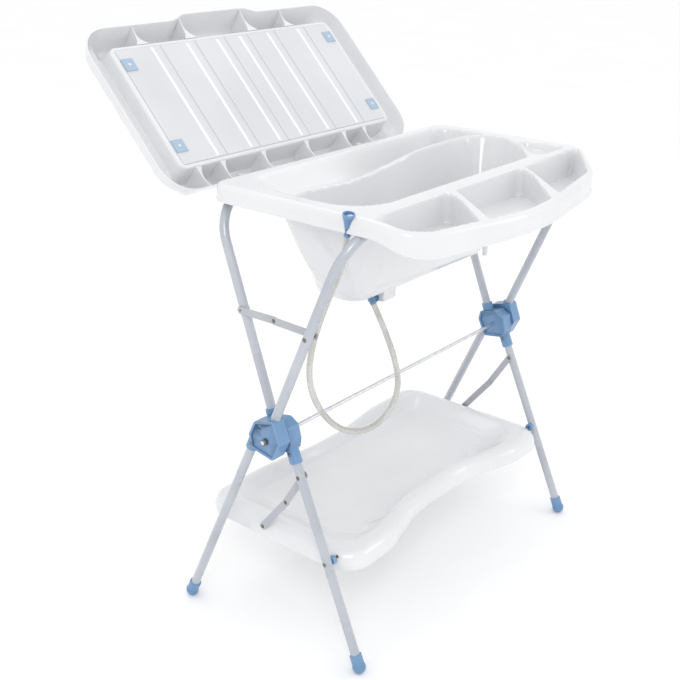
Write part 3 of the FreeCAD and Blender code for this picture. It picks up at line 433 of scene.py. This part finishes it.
def inset(outline, x, y):
    """Distance from points to a polygon, positive inside it."""
    nearest = np.full(x.shape, np.inf)
    inside = np.zeros(x.shape, bool)
    for (ax, ay), (bx, by) in zip(outline, np.roll(outline, -1, axis=0)):
        dx, dy = bx - ax, by - ay
        length = dx * dx + dy * dy
        if length < 1e-9:
            continue
        along = np.clip(((x - ax) * dx + (y - ay) * dy) / length, 0, 1)
        nearest = np.minimum(nearest, (x - ax - along * dx) ** 2 + (y - ay - along * dy) ** 2)
        if ay != by:
            inside ^= ((ay > y) != (by > y)) & (x < ax + (y - ay) * dx / dy)
    return np.where(inside, 1, -1) * np.sqrt(nearest)


def higher(a, b, blend):
    """The higher of two surfaces, with a fillet of this size between them."""
    near = np.clip(1 - np.abs(a - b) / blend, 0, 1)
    return np.maximum(a, b) + near * near * blend / 4


def lower(a, b, blend):
    """The lower of two surfaces, with a fillet of this size between them."""
    return -higher(-a, -b, blend)


def ease(value, low, high):
    """0 up to low, 1 from high on, and a smooth change between them."""
    share = np.clip((value - low) / (high - low), 0, 1)
    return share * share * (3 - 2 * share)


def wall(rim, floor, x, y, foot=0.2):
    """0 on the floor's outline and within it, 1 on the rim's, rising through a rounded foot."""
    out = np.maximum(-inset(floor, x, y), 0)
    share = out / np.maximum(out + inset(rim, x, y), 1e-3)
    return (np.sqrt(share * share + foot * foot) - foot) / ((1 + foot * foot) ** 0.5 - foot)


def surface_net(values):
    """Corners, in grid steps, and quads of the surface where values change sign."""
    cells = tuple(count - 1 for count in values.shape)
    total = np.zeros(cells + (3,))
    hits = np.zeros(cells)
    crossings = []
    for axis in range(3):
        grid = np.moveaxis(values, axis, 0)
        first, second = grid[:-1], grid[1:]
        crossing = (first < 0) != (second < 0)
        share = np.where(crossing, first / np.where(crossing, first - second, 1), 0)
        crossings.append((crossing, first < 0))
        sums = np.moveaxis(total, axis, 0)
        counts = np.moveaxis(hits, axis, 0)
        others = [a for a in range(3) if a != axis]
        for i in (0, 1):
            for j in (0, 1):
                part = (slice(None), slice(i, grid.shape[1] - 1 + i),
                        slice(j, grid.shape[2] - 1 + j))
                here = crossing[part]
                sums[..., axis] += share[part]
                sums[..., others[0]] += here * i
                sums[..., others[1]] += here * j
                counts += here
    ids = np.full(cells, -1)
    used = hits > 0
    ids[used] = np.arange(used.sum())
    base = np.argwhere(used)
    points = base + total[used] / hits[used][:, None]
    # Each edge of the grid that the surface crosses has four cells around it: one quad.
    quads = []
    for axis, (crossing, solid_first) in enumerate(crossings):
        around = np.moveaxis(ids, axis, 0)
        edge, p, q = np.argwhere(crossing[:, 1:-1, 1:-1]).T
        loop = np.stack([around[edge, p, q], around[edge, p + 1, q],
                         around[edge, p + 1, q + 1], around[edge, p, q + 1]], axis=1)
        outward = solid_first[:, 1:-1, 1:-1][edge, p, q] ^ (axis == 1)
        loop[~outward] = loop[~outward][:, ::-1]
        quads.append(loop)
    return points, np.concatenate(quads)


def neighbours_mean(points, quads):
    """The mean of the neighbours of each point."""
    total = np.zeros_like(points)
    count = np.zeros(len(points))
    for side in range(4):
        a, b = quads[:, side], quads[:, (side + 1) % 4]
        for here, there in ((a, b), (b, a)):
            np.add.at(total, here, points[there])
            np.add.at(count, here, 1)
    return total / np.maximum(count, 1)[:, None]


def rim_vertices(count, quads):
    """True for the vertices on the open edge of a surface."""
    edges = np.sort(np.concatenate([quads[:, [s, (s + 1) % 4]] for s in range(4)]), axis=1)
    unique, times = np.unique(edges, axis=0, return_counts=True)
    rim = np.zeros(count, bool)
    rim[unique[times == 1].ravel()] = True
    return rim


class Relief:
    """Height and distance to the border of a moulding, sampled on a fine grid of its plan."""

    STEP = 1.25
    MARGIN = 6

    def __init__(self, height, border, low, high):
        self.low = np.array(low, float) - self.MARGIN
        span = np.array(high) + self.MARGIN - self.low
        counts = np.ceil(span / self.STEP).astype(int) + 1
        x, y = np.meshgrid(self.low[0] + self.STEP * np.arange(counts[0]),
                           self.low[1] + self.STEP * np.arange(counts[1]), indexing="ij")
        self.maps = np.stack([height(x, y), border(x, y)])

    def __call__(self, x, y):
        """Height and border distance at points of the plan, between the samples."""
        size_x, size_y = self.maps.shape[1:]
        across = np.clip((x - self.low[0]) / self.STEP, 0, size_x - 1.001)
        along = np.clip((y - self.low[1]) / self.STEP, 0, size_y - 1.001)
        i, j = across.astype(int), along.astype(int)
        s, t = across - i, along - j
        return ((self.maps[:, i, j] * (1 - s) + self.maps[:, i + 1, j] * s) * (1 - t)
                + (self.maps[:, i, j + 1] * (1 - s) + self.maps[:, i + 1, j + 1] * s) * t)


SMOOTHING_ROUNDS = 3
PULLS_PER_ROUND = 2
SLOPE_PROBE = 0.3
LEAST_SLOPE_SQUARED = 0.05


def shell_surface(field, keep, low, high, step, rim_z):
    """The surface field(x, y, z) = 0 in a box, cut off at the level rim_z where keep says so.

    keep(x, y, z) is true for the points that belong to the piece. The grid's layers are placed
    so that the cut edge is one layer of vertices, which then lie exactly at rim_z. The rest is
    smoothed and pulled back onto the surface.
    """
    bottom = rim_z - step * (ceil((rim_z - low[2]) / step) + 0.5)
    axes = [np.arange(low[0], high[0] + step, step), np.arange(low[1], high[1] + step, step),
            np.arange(bottom, high[2] + step, step)]
    x, y = np.meshgrid(axes[0], axes[1], indexing="ij")
    values = field(x[..., None], y[..., None], axes[2])
    points, quads = surface_net(values)
    points = points * step + (low[0], low[1], bottom)
    kept = keep(*points.T)
    quads = quads[kept[quads].all(axis=1)]
    used = np.unique(quads)
    points = points[used]
    quads = np.searchsorted(used, quads)
    rim = rim_vertices(len(points), quads)
    points[rim, 2] = rim_z
    shifts = np.eye(3) * SLOPE_PROBE
    for round_index in range(SMOOTHING_ROUNDS + 1):
        if round_index:
            mean = neighbours_mean(points, quads)
            points[~rim] = (points[~rim] + mean[~rim]) / 2
        for _ in range(PULLS_PER_ROUND):
            value = field(*points.T)
            rise = [field(*(points + shift).T) - field(*(points - shift).T) for shift in shifts]
            slope = np.stack(rise, axis=1) / (2 * SLOPE_PROBE)
            slope[rim, 2] = 0
            pull = value / np.maximum((slope ** 2).sum(axis=1), LEAST_SLOPE_SQUARED)
            move = slope * pull[:, None]
            length = np.linalg.norm(move, axis=1)
            points -= move * np.minimum(1, step / np.maximum(length, 1e-6))[:, None]
    return points, quads


def mesh_object(name, points, faces, material, smooth_angle=35):
    """A mesh from points in the stand's axes, in mm."""
    mesh = bpy.data.meshes.new(name)
    mesh.from_pydata([metres(*p) for p in points], [], [list(map(int, f)) for f in faces])
    mesh.validate()
    mesh.shade_smooth()
    mesh.set_sharp_from_angle(angle=radians(smooth_angle))
    mesh.materials.append(material)
    return link(name, mesh)


SHELL_WALL = 3.0
SHELL_SMOOTH_ANGLE = 40

# Below its cut edge a shell keeps only what lies further than this inside its plan. The grid
# starts a little under its lowest point.
SKIRT_BORDER, EDGE_SLACK = 6, 1
UNDER_FLOOR = 5


def thickened(item):
    """The item as a closed wall, thickened away from its outward side."""
    solid = item.modifiers.new("wall", "SOLIDIFY")
    solid.thickness = SHELL_WALL * MM
    solid.offset = -1
    solid.use_rim = True
    solid.use_even_offset = False
    bpy.context.view_layer.update()
    depsgraph = bpy.context.evaluated_depsgraph_get()
    mesh = bpy.data.meshes.new_from_object(item.evaluated_get(depsgraph))
    item.modifiers.clear()
    item.data = mesh
    mesh.shade_smooth()
    mesh.set_sharp_from_angle(angle=radians(SHELL_SMOOTH_ANGLE))
    return item


def stood_for(item, body, slot, *nodes):
    """The item rides on a body in place of CAD nodes."""
    if nodes:
        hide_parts(*nodes)
    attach(item, body)
    return item


# ---------------------------------------------------------------- tub

DECK_Z, DECK_FRONT_Z, DECK_BREAK_Y, DECK_FRONT_Y = 934.0, 913.0, -205.0, -352.0
SKIRT_Z, SKIRT_DIP, TUBE_NOTCH = 899.5, 26.0, 5.5
BASIN_FLOOR_Z, SHELF_Z, SOAP_DISH_Z, COMPARTMENT_Z = 705.0, 880.0, 916.0, 877.0

DECK = rounded([(-385, 190, 40), (385, 190, 40), (385, -194, 100), (232, -307, 130),
                (-60, -362, 555), (-345, -310, 60), (-385, -272, 60)])
BOWL_RIM = rounded([(-345, -158, 90), (214, -159, 70), (286, -104, 260), (346, -22, 60),
                    (343, 57, 50), (80, 57, 300), (-70, 72, 300), (-200, 90, 200), (-345, 98, 70)])
BOWL_FLOOR = rounded([(-228, -52, 30), (184, -54, 50), (242, -26, 30), (242, 16, 26),
                      (40, 22, 120), (-60, 50, 70), (-228, 56, 30)])
BENCH = rounded([(-345, 158, 90), (346, 158, 40), (346, 30, 8), (200, -40, 8), (-345, -60, 8)])
SOAP_DISH = rounded([(336, -68, 9), (343, -163, 12), (246, -163, 9)])
COMPARTMENT_PLANS = [
    ([(-370, -197, 14), (-139, -197, 12), (-160, -240, 120), (-226, -330, 8), (-226, -380, 8),
      (-370, -380, 8)],
     [(-330, -204, 14), (-144, -202, 8), (-168, -245, 60), (-232, -328, 8), (-330, -328, 8)]),
    ([(-116, -197, 14), (117, -197, 12), (98, -236, 120), (8, -330, 8), (-30, -380, 8),
      (-196, -380, 8), (-196, -330, 8)],
     [(-106, -204, 14), (111, -202, 8), (90, -240, 60), (2, -332, 8), (-160, -332, 8)]),
    ([(134, -197, 14), (356, -190, 20), (344, -262, 60), (240, -330, 8), (40, -340, 8)],
     [(146, -204, 14), (349, -198, 14), (334, -258, 50), (236, -312, 8), (66, -330, 8)]),
]
COMPARTMENTS = [(rounded(rim), rounded(floor)) for rim, floor in COMPARTMENT_PLANS]
COMPARTMENT_FOOT, COMPARTMENT_FRONT_SLOPE = 0.12, 3.2
FRONT_BORDER, FRONT_REACH = 17.0, 12
BOWL_FOOT = 0.24
DISH_BORDER, DISH_SLOPE = 4, 3

# The bench slopes gently at the left. At the right it is a shelf behind a ridge.
BENCH_OVERLAP = 4
SLOPE_DROP, SLOPE_WIDTH, SHELF_WIDTH = 35, 74, 20
SLOPE_POWER = 1.2
CREST_LOW_Z, CREST_OVERLAP = 899, 2
RIDGE_HALF_WIDTH, RIDGE_SLOPE = 5, 4.5

# The outward bead along the skirt's lower edge: how far it stands out, where, and how high it is.
BEAD, BEAD_RISE, BEAD_HEIGHT = 1.6, 3, 3.2
DECK_EDGE_BLEND = 11
TUB_STEP, TUB_TOP_Z = 4.0, 966


def deck_height(x, y):
    """The deck is level, and slopes down over the compartments."""
    ahead = higher(DECK_BREAK_Y - y, np.zeros_like(y), 24)
    return DECK_Z - ahead * (DECK_Z - DECK_FRONT_Z) / (DECK_BREAK_Y - DECK_FRONT_Y)


def bench_height(x, y):
    """The bench behind the bowl: a gentle slope at the left, a shelf behind a ridge at the right."""
    right = ease(x, -150, 60)
    drop = SLOPE_DROP + (DECK_Z - SHELF_Z - SLOPE_DROP) * right
    width = SLOPE_WIDTH + (SHELF_WIDTH - SLOPE_WIDTH) * right
    share = np.clip(inset(BENCH, x, y) / width, 0, 1)
    fall = np.sin(share * pi / 2) ** SLOPE_POWER
    slope = DECK_Z + BENCH_OVERLAP - (drop + BENCH_OVERLAP) * fall
    crest = CREST_LOW_Z + (DECK_Z + CREST_OVERLAP - CREST_LOW_Z) * ease(x, -120, 175)
    beside = np.maximum(-inset(BOWL_RIM, x, y) - RIDGE_HALF_WIDTH, 0)
    return higher(slope, crest - RIDGE_SLOPE * beside, 9)


def tub_height(x, y):
    """The tub's upper surface: the deck, less the bench, bowl, soap dish and compartments."""
    deck = deck_height(x, y)
    climb = wall(BOWL_RIM, BOWL_FLOOR, x, y, BOWL_FOOT)
    bowl = BASIN_FLOOR_Z + (DECK_Z - BASIN_FLOOR_Z) * climb
    height = lower(deck, bench_height(x, y), 10)
    height = lower(height, bowl, 9)
    dish = SOAP_DISH_Z + np.maximum(-inset(SOAP_DISH, x, y) - DISH_BORDER, 0) * DISH_SLOPE
    height = lower(height, dish, 7)
    border = inset(DECK, x, y) - FRONT_BORDER
    front = COMPARTMENT_Z + (FRONT_REACH - border) * COMPARTMENT_FRONT_SLOPE
    for rim, floor in COMPARTMENTS:
        climb = wall(rim, floor, x, y, COMPARTMENT_FOOT)
        pit = COMPARTMENT_Z + (deck - COMPARTMENT_Z) * climb
        height = lower(height, higher(pit, front, 12), 6)
    return height


def skirt_dip(x, y):
    """How far the skirt's lower edge hangs below its level, less a notch over the front tube."""
    notch = ease(x, 354, 364) * ease(-y, 150, 164) * (1 - ease(-y, 192, 202))
    return SKIRT_DIP * ease(-y, 200, 322) - TUBE_NOTCH * notch


def make_tub():
    """The tub's shell, from its upper surface and its skirt."""
    low, high = (-392, -360), (392, 196)
    relief = Relief(lambda x, y: tub_height(x, y) + skirt_dip(x, y),
                    lambda x, y: inset(DECK, x, y), low, high)

    def field(x, y, z):
        """Negative under the surface. z is measured with the skirt's lower edge made level."""
        height, border = relief(x, y)
        bead = BEAD * (1 - np.exp(-((z - SKIRT_Z - BEAD_RISE) / BEAD_HEIGHT) ** 2))
        return higher(z - height, bead - border, DECK_EDGE_BLEND)

    def keep(x, y, z):
        return (z > SKIRT_Z - EDGE_SLACK) | (relief(x, y)[1] > SKIRT_BORDER)

    points, quads = shell_surface(field, keep, (*low, BASIN_FLOOR_Z - UNDER_FLOOR),
                                  (*high, TUB_TOP_Z), TUB_STEP, SKIRT_Z)
    points[:, 2] -= skirt_dip(points[:, 0], points[:, 1])
    tub = thickened(mesh_object("tub", points, quads, WHITE))
    stood_for(tub, "bath", "white_plastic", "bath_tub")


make_tub()

# ---------------------------------------------------------------- storage tray

TRAY_RIM_Z, TRAY_LOW_Z, TRAY_STEP_Z, TRAY_FLOOR_Z = 230.0, 191.0, 209.0, 194.5
TRAY_FOOT, TRAY_OVERLAP, TRAY_STEP_ROUND = 0.14, 1, 2
TRAY_RIM_BLEND, TRAY_EDGE_BLEND = 7, 34
TRAY_GRID_STEP, TRAY_TOP_Z = 4.0, 236
TRAY = rounded(mirrored([(60, 227, 250), (200, 248, 250), (350, 248, 45), (376, 205, 40),
                         (376, -120, 60), (345, -166, 45), (240, -166, 200), (90, -121, 250)]))
TRAY_SHOULDER = rounded(mirrored([(60, 202, 250), (200, 220, 200), (322, 220, 45),
                                  (346, 190, 40), (346, -95, 60), (312, -130, 60),
                                  (240, -128, 150), (90, -92, 250)]))
TRAY_STEP = rounded(mirrored([(60, 184, 250), (200, 190, 200), (275, 188, 40), (290, 165, 30),
                              (290, -70, 60), (255, -98, 50), (90, -84, 200)]))
TRAY_FLOOR = rounded(mirrored([(170, 150, 40), (212, 140, 40), (212, -60, 50), (170, -78, 60)]))


def tray_height(x, y):
    """The tray's upper surface: a rim, a step inside it and a floor inside that."""
    upper_climb = wall(TRAY_SHOULDER, TRAY_STEP, x, y, TRAY_FOOT)
    upper = TRAY_STEP_Z + (TRAY_RIM_Z + TRAY_OVERLAP - TRAY_STEP_Z) * upper_climb
    low_climb = wall(TRAY_STEP, TRAY_FLOOR, x, y, TRAY_FOOT)
    low = TRAY_FLOOR_Z + (TRAY_STEP_Z - TRAY_STEP_ROUND - TRAY_FLOOR_Z) * low_climb
    inner = np.where(inset(TRAY_STEP, x, y) > 0, low, upper)
    return lower(np.full_like(x, TRAY_RIM_Z), inner, TRAY_RIM_BLEND)


def make_tray():
    """The tray's shell, with a broad rolled rim."""
    low, high = (-384, -174), (384, 256)
    relief = Relief(tray_height, lambda x, y: inset(TRAY, x, y), low, high)

    def field(x, y, z):
        height, border = relief(x, y)
        return higher(z - height, -border, TRAY_EDGE_BLEND)

    def keep(x, y, z):
        return (z > TRAY_LOW_Z - EDGE_SLACK) | (relief(x, y)[1] > SKIRT_BORDER)

    points, quads = shell_surface(field, keep, (*low, TRAY_LOW_Z - UNDER_FLOOR),
                                  (*high, TRAY_TOP_Z), TRAY_GRID_STEP, TRAY_LOW_Z)
    tray = thickened(mesh_object("tray", points, quads, WHITE))
    stood_for(tray, "tray", "white_plastic", "storage_tray")


make_tray()

# ---------------------------------------------------------------- changing top

TOP_TILT = radians(46.5)
TOP_PLANE = (308.4, 934.0)
TOP_DEPTH = 55.0
TOP_SIDE_DEPTH = 34.0
TOP_WALL_SLOPE = 58.0 / 18.0
TOP_WALL_BAND = 4
TOP_FLOOR_BLEND, LIP_BLEND, PLATE_BLEND = 26, 12, 3
LIP_SLOPE = 7
LIP_SINK, PANEL_SEAT = 0.6, 3.4
TOP_GRID_STEP, TOP_GRID_HEIGHT = 3.5, 8
PANEL_HALF, PANEL_NEAR, PANEL_FAR = 329.0, 6.0, 288.0
TOP = rounded([(-395, -55, 70), (395, -55, 70), (395, 347, 70), (130, 347, 60), (95, 361, 60),
               (-95, 361, 60), (-130, 347, 60), (-395, 347, 70)])
LIP = rounded([(-341, -3, 16), (341, -3, 16), (341, 296, 16), (-341, 296, 16)])
PANEL = rounded([(-PANEL_HALF, PANEL_NEAR, 4), (PANEL_HALF, PANEL_NEAR, 4),
                 (PANEL_HALF, PANEL_FAR, 4), (-PANEL_HALF, PANEL_FAR, 4)])


def on_top(points):
    """Points (u, v, height over the sheet) of the open top, in the stand's axes."""
    u, v, w = np.asarray(points, float).T
    return np.stack([u, TOP_PLANE[0] + v * cos(TOP_TILT) - w * sin(TOP_TILT),
                     TOP_PLANE[1] + v * sin(TOP_TILT) + w * cos(TOP_TILT)], axis=1)


def top_height(u, v):
    """The hollow border round the panel, seen from the panel's side."""
    border = inset(TOP, u, v) - SHELL_WALL
    outer = -border * TOP_WALL_SLOPE
    side = ease(np.abs(u), 322, 352)
    floor = -(TOP_DEPTH + (TOP_SIDE_DEPTH - TOP_DEPTH) * side)
    channel = higher(outer, floor, TOP_FLOOR_BLEND)
    bottom = higher(channel, inset(LIP, u, v) * LIP_SLOPE, LIP_BLEND)
    plate = -LIP_SINK - PANEL_SEAT * ease(inset(PANEL, u, v), -1.5, 1.5)
    return lower(bottom, plate, PLATE_BLEND)


def make_top():
    """The changing top's shell: a hollow border round the panel's seat."""
    low, high = (-398, -60), (398, 364)
    relief = Relief(top_height, lambda u, v: inset(TOP, u, v) - SHELL_WALL, low, high)

    def field(u, v, w):
        height, border = relief(u, v)
        return w - np.where(border < TOP_WALL_BAND, -border * TOP_WALL_SLOPE, height)

    def keep(u, v, w):
        return w < EDGE_SLACK

    points, quads = shell_surface(field, keep, (*low, -TOP_DEPTH - UNDER_FLOOR),
                                  (*high, TOP_GRID_HEIGHT), TOP_GRID_STEP, 0.0)
    top = thickened(mesh_object("top_shell", on_top(points), quads, WHITE))
    stood_for(top, "changing_top", "white_plastic", "changing_top_shell")


make_top()

FAR_FINS = [-246, -108, 84, 210]
NEAR_FINS = [-296, -228, -106, 33, 165, 240]
FIN_COLUMNS, FIN_ROWS = 10, 7
FIN_HALF_THICKNESS, FIN_FOOT_FLARE = 1.3, 5
FIN_TOP, FIN_SAG = 1.5, 5

# The webs' reach in v, from the panel's lip to the rim, which is further out behind the middle.
FAR_FIN_START, FAR_FIN_END, FAR_FIN_EXTRA = 297, 346, 12
WIDE_MIDDLE_HALF = 110
NEAR_FIN_START, NEAR_FIN_END = -4, -53
FAR_FLARE, NEAR_FLARE = 17, 7


def fin(place, v_panel, v_rim, flare):
    """A web across the hollow border: thin at the rim, flared where it meets the panel's lip."""
    s, t = np.meshgrid(np.linspace(0, 1, FIN_COLUMNS), np.linspace(0, 1, FIN_ROWS), indexing="ij")
    half = FIN_HALF_THICKNESS + flare * (1 - s) ** 4 + FIN_FOOT_FLARE * (1 - t) ** 4
    top = -FIN_TOP - FIN_SAG * np.sin(s * pi)
    w = -TOP_DEPTH - 1 + (top + TOP_DEPTH + 1) * t
    taper = w / TOP_WALL_SLOPE * (1 if v_rim > v_panel else -1)
    v = v_panel + (v_rim + taper - v_panel) * s
    sides = [np.stack([place + sign * half, v, w], axis=-1).reshape(-1, 3) for sign in (-1, 1)]
    count = FIN_COLUMNS * FIN_ROWS
    faces = []
    for i in range(FIN_COLUMNS - 1):
        for j in range(FIN_ROWS - 1):
            near = i * FIN_ROWS + j
            far = near + FIN_ROWS
            faces.append((near, near + 1, far + 1, far))
            faces.append((count + near, count + far, count + far + 1, count + near + 1))
    ridge = range(FIN_ROWS - 1, count, FIN_ROWS)
    foot = range(0, count, FIN_ROWS)
    start = range(FIN_ROWS)
    end = range(count - FIN_ROWS, count)
    for line, order in ((ridge, 1), (foot, -1), (start, -1), (end, 1)):
        faces += [(a, count + a, count + b, b)[::order] for a, b in zip(line, line[1:])]
    return np.concatenate(sides), faces


def joined(parts):
    """One list of points and faces from several."""
    points, faces = [], []
    for part_points, part_faces in parts:
        shift = sum(len(p) for p in points)
        points.append(part_points)
        faces += [tuple(i + shift for i in face) for face in part_faces]
    return np.concatenate(points), faces


def make_fins():
    """The webs on the border's far and near sides."""
    parts = []
    for u in FAR_FINS:
        extra = FAR_FIN_EXTRA if abs(u) < WIDE_MIDDLE_HALF else 0
        parts.append(fin(u, FAR_FIN_START, FAR_FIN_END + extra, FAR_FLARE))
    parts += [fin(u, NEAR_FIN_START, NEAR_FIN_END, NEAR_FLARE) for u in NEAR_FINS]
    points, faces = joined(parts)
    fins = mesh_object("top_fins", on_top(points), faces, WHITE, 50)
    stood_for(fins, "changing_top", "white_plastic")


make_fins()

RIB_HALF, RIB_RISE, RIB_SINK = 3.8, 1.8, 0.15
RIB_ENDS = [(3, 0.05), (6, 0.8), (10, 1)]
GROOVE_DEPTH, GROOVE_HALF, GROOVE_FLOOR_HALF = 1.3, 2.6, 0.5
PANEL_THICKNESS, PANEL_ROUND, PANEL_ROUND_DROP = 3.0, 0.8, 0.6


def between(rings, wide):
    """Quads between one ring of vertices and the next."""
    faces = []
    for i in range(rings - 1):
        for j in range(wide):
            a, b = i * wide + j, i * wide + (j + 1) % wide
            faces.append((a, b, b + wide, a + wide))
    return faces


def closed_bar(points, wide):
    """A bar from rings of vertices, with both ends closed."""
    count = len(points)
    ends = [tuple(range(wide))[::-1], tuple(range(count - wide, count))]
    return np.array(points, float), between(count // wide, wide) + ends


def lengthwise(section, ends, base):
    """A bar across the panel: section points (u, height), at each end (v, share of height)."""
    points = [(u, v, base + height * share) for v, share in ends for u, height in section]
    return closed_bar(points, len(section))


def make_panel():
    """A pressed sheet with a groove beside each rib."""
    edge = [(PANEL_HALF - PANEL_ROUND, 0), (PANEL_HALF, -PANEL_ROUND_DROP),
            (PANEL_HALF, -PANEL_THICKNESS)]
    section = [(-u, height) for u, height in reversed(edge)]
    for u in RIBS:
        middle = u + GROOVE_AFTER
        section += [(middle - GROOVE_HALF, 0), (middle - GROOVE_FLOOR_HALF, -GROOVE_DEPTH),
                    (middle + GROOVE_FLOOR_HALF, -GROOVE_DEPTH), (middle + GROOVE_HALF, 0)]
    section += edge
    points, faces = lengthwise(section, [(PANEL_NEAR, 1), (PANEL_FAR, 1)], 0)
    panel = mesh_object("panel", on_top(points), faces, GREY, 30)
    stood_for(panel, "changing_top", "grey_panel", "top_panel")


def make_ribs():
    """Low rounded ribs across the panel, tapered at their ends, in a brighter white as a painted
    highlight.
    """
    parts = []
    ends = [(PANEL_NEAR + distance, share) for distance, share in RIB_ENDS]
    ends += [(PANEL_FAR - distance, share) for distance, share in reversed(RIB_ENDS)]
    for u in RIBS:
        arch = [(u + RIB_HALF * cos(a), RIB_RISE * sin(a)) for a in np.linspace(pi, 0, 9)]
        parts.append(lengthwise(arch, ends, -RIB_SINK))
    points, faces = joined(parts)
    ribs = mesh_object("panel_ribs", on_top(points), faces, RIB_HIGHLIGHT_WHITE, 50)
    stood_for(ribs, "changing_top", "white_plastic")


make_panel()
make_ribs()

# ---------------------------------------------------------------- small mouldings


TURN_STEPS = 28


def turned(profile, place, axis):
    """A ring of revolution: a closed loop of (radius, height) about an axis from a place."""
    axis = Vector(axis).normalized()
    across = axis.orthogonal().normalized()
    other = axis.cross(across)
    points = []
    for step in range(TURN_STEPS):
        angle = 2 * pi * step / TURN_STEPS
        out = across * cos(angle) + other * sin(angle)
        points += [Vector(place) + out * radius + axis * height for radius, height in profile]
    faces = [tuple(corner % len(points) for corner in face)
             for face in between(TURN_STEPS + 1, len(profile))]
    return np.array([tuple(p) for p in points]), faces


def extruded(outline, start, end, chamfer):
    """An outline of (y, z) points along x, with its two faces chamfered towards its middle."""
    outline = np.array(outline, float)
    middle = outline.mean(axis=0)
    size = np.linalg.norm(outline - middle, axis=1).mean()
    small = middle + (outline - middle) * (1 - chamfer / size)
    layers = [(start, small), (start + chamfer, outline), (end - chamfer, outline), (end, small)]
    points = [(x, y, z) for x, ring in layers for y, z in ring]
    return closed_bar(points, len(outline))


# Outlines (y, z) along x of the drain box and saddle ribs, and the peg's (radius, height).
DRAIN_BOX = [(-62, 706), (-62, 688), (-57, 683), (-23, 683), (-18, 688), (-18, 706)]
DRAIN_BOX_FROM, DRAIN_BOX_TO, DRAIN_BOX_CHAMFER = -150, -110, 2
PEG, PEG_PLACE = [(0.5, 0), (4.4, 0), (6, 1.6), (6, 30), (0.5, 30)], (226, -58, 690)
SADDLE_X, SADDLE_HALF, SADDLE_CHAMFER = 250, 10, 1
SADDLES = [[(168, 928), (168, 915.5), (186, 915.5), (186, 928)],
           [(-191, 928), (-191, 915.5), (-172, 915.5), (-172, 928)]]


def make_tub_fittings():
    """Drain box, peg and saddle ribs under the tub."""
    parts = [extruded(DRAIN_BOX, DRAIN_BOX_FROM, DRAIN_BOX_TO, DRAIN_BOX_CHAMFER),
             turned(PEG, PEG_PLACE, (0, 0, 1))]
    for x in (-SADDLE_X, SADDLE_X):
        for saddle in SADDLES:
            parts.append(extruded(saddle, x - SADDLE_HALF, x + SADDLE_HALF, SADDLE_CHAMFER))
    points, faces = joined(parts)
    stood_for(mesh_object("tub_fittings", points, faces, WHITE, 40), "bath", "white_plastic")


# The hinge's axis in the top's own plane, a lug's arm in (v, w) and its eye in (radius, height).
HINGE_V, HINGE_W = -75.04, 35.49
LUG_U, ARM_HALF, ARM_CHAMFER = 196, 7.6, 0.8
ARM = [(-38, -10), (-47, -2), (-67.6, 37), (-72.6, 31.1), (-77.6, 28.9), (-50, -20), (-44, -22)]
EYE = [(3.05, -8), (7.2, -8), (8, -7.2), (8, 7.2), (7.2, 8), (3.05, 8)]


def make_lugs():
    """Two hinge lugs on the near border of the changing top, each an arm and an eye."""
    parts = []
    for u in (-LUG_U, LUG_U):
        parts.append(extruded(ARM, u - ARM_HALF, u + ARM_HALF, ARM_CHAMFER))
        parts.append(turned(EYE, (u, HINGE_V, HINGE_W), (1, 0, 0)))
    points, faces = joined(parts)
    lugs = mesh_object("top_lugs", on_top(points), faces, WHITE, 40)
    stood_for(lugs, "changing_top", "white_plastic")


make_tub_fittings()
make_lugs()

BEVELLED = ["outer_hub_left", "outer_hub_right", "inner_hub_left", "inner_hub_right", "rear_feet",
            "front_feet", "lid_hinge_brackets", "panel_clips", "rod_nuts"]
BEVEL_WIDTH, BEVEL_LEAST_ANGLE = 1.0, 40

for name in BEVELLED:
    bevel = frame["nodes"][name].modifiers.new("rounding", "BEVEL")
    bevel.width = BEVEL_WIDTH * MM
    bevel.segments = 2
    bevel.limit_method = "ANGLE"
    bevel.angle_limit = radians(BEVEL_LEAST_ANGLE)

# ---------------------------------------------------------------- floor and lights


FLOOR_HALF, FLOOR_CELLS, FLOOR_DROP = 20, 8, 0.0005

# Lamps: (name, place, size, power), all aimed at the middle of the stand.
LAMP_TARGET = Vector((0, 0, 0.7))
LAMPS = [
    ("key", (-2.6, -2.0, 2.9), (1.2, 1.2), 30),
    ("fill", (2.2, -2.8, 1.8), (0.9, 1.4), 8),
    ("top", (0.3, 1.2, 3.2), (1.8, 1.0), 7),
]


def make_stage():
    """A plain pale floor just under the feet."""
    floor = bmesh.new()
    bmesh.ops.create_grid(floor, x_segments=FLOOR_CELLS, y_segments=FLOOR_CELLS, size=FLOOR_HALF)
    mesh = bpy.data.meshes.new("floor")
    floor.to_mesh(mesh)
    floor.free()
    item = link("floor", mesh)
    item.location.z = cad_low.z - FLOOR_DROP
    pale = Surface("floor")
    stops = [(0.3, linear(253, 253, 254)), (0.7, linear(255, 255, 255))]
    pale.colour(pale.ramp(pale.noise(2, 3), stops))
    pale.set(Roughness=0.9)
    mesh.materials.append(pale.material)


def area_light(name, place, size, power):
    """A white rectangular lamp that faces the middle of the stand."""
    data = bpy.data.lights.new(name, "AREA")
    data.shape = "RECTANGLE"
    data.size, data.size_y = size
    data.energy = power
    lamp = link(name, data)
    lamp.location = place
    lamp.rotation_euler = (LAMP_TARGET - Vector(place)).to_track_quat("-Z", "Y").to_euler()


def make_lights():
    """A white world and the lamps."""
    world = bpy.data.worlds.new("studio")
    bpy.context.scene.world = world
    world.use_nodes = True
    background = world.node_tree.nodes["Background"]
    background.inputs["Color"].default_value = (1, 1, 1, 1)
    background.inputs["Strength"].default_value = 1.0
    for lamp in LAMPS:
        area_light(*lamp)


make_stage()
make_lights()
bpy.context.scene.view_settings.view_transform = "Standard"
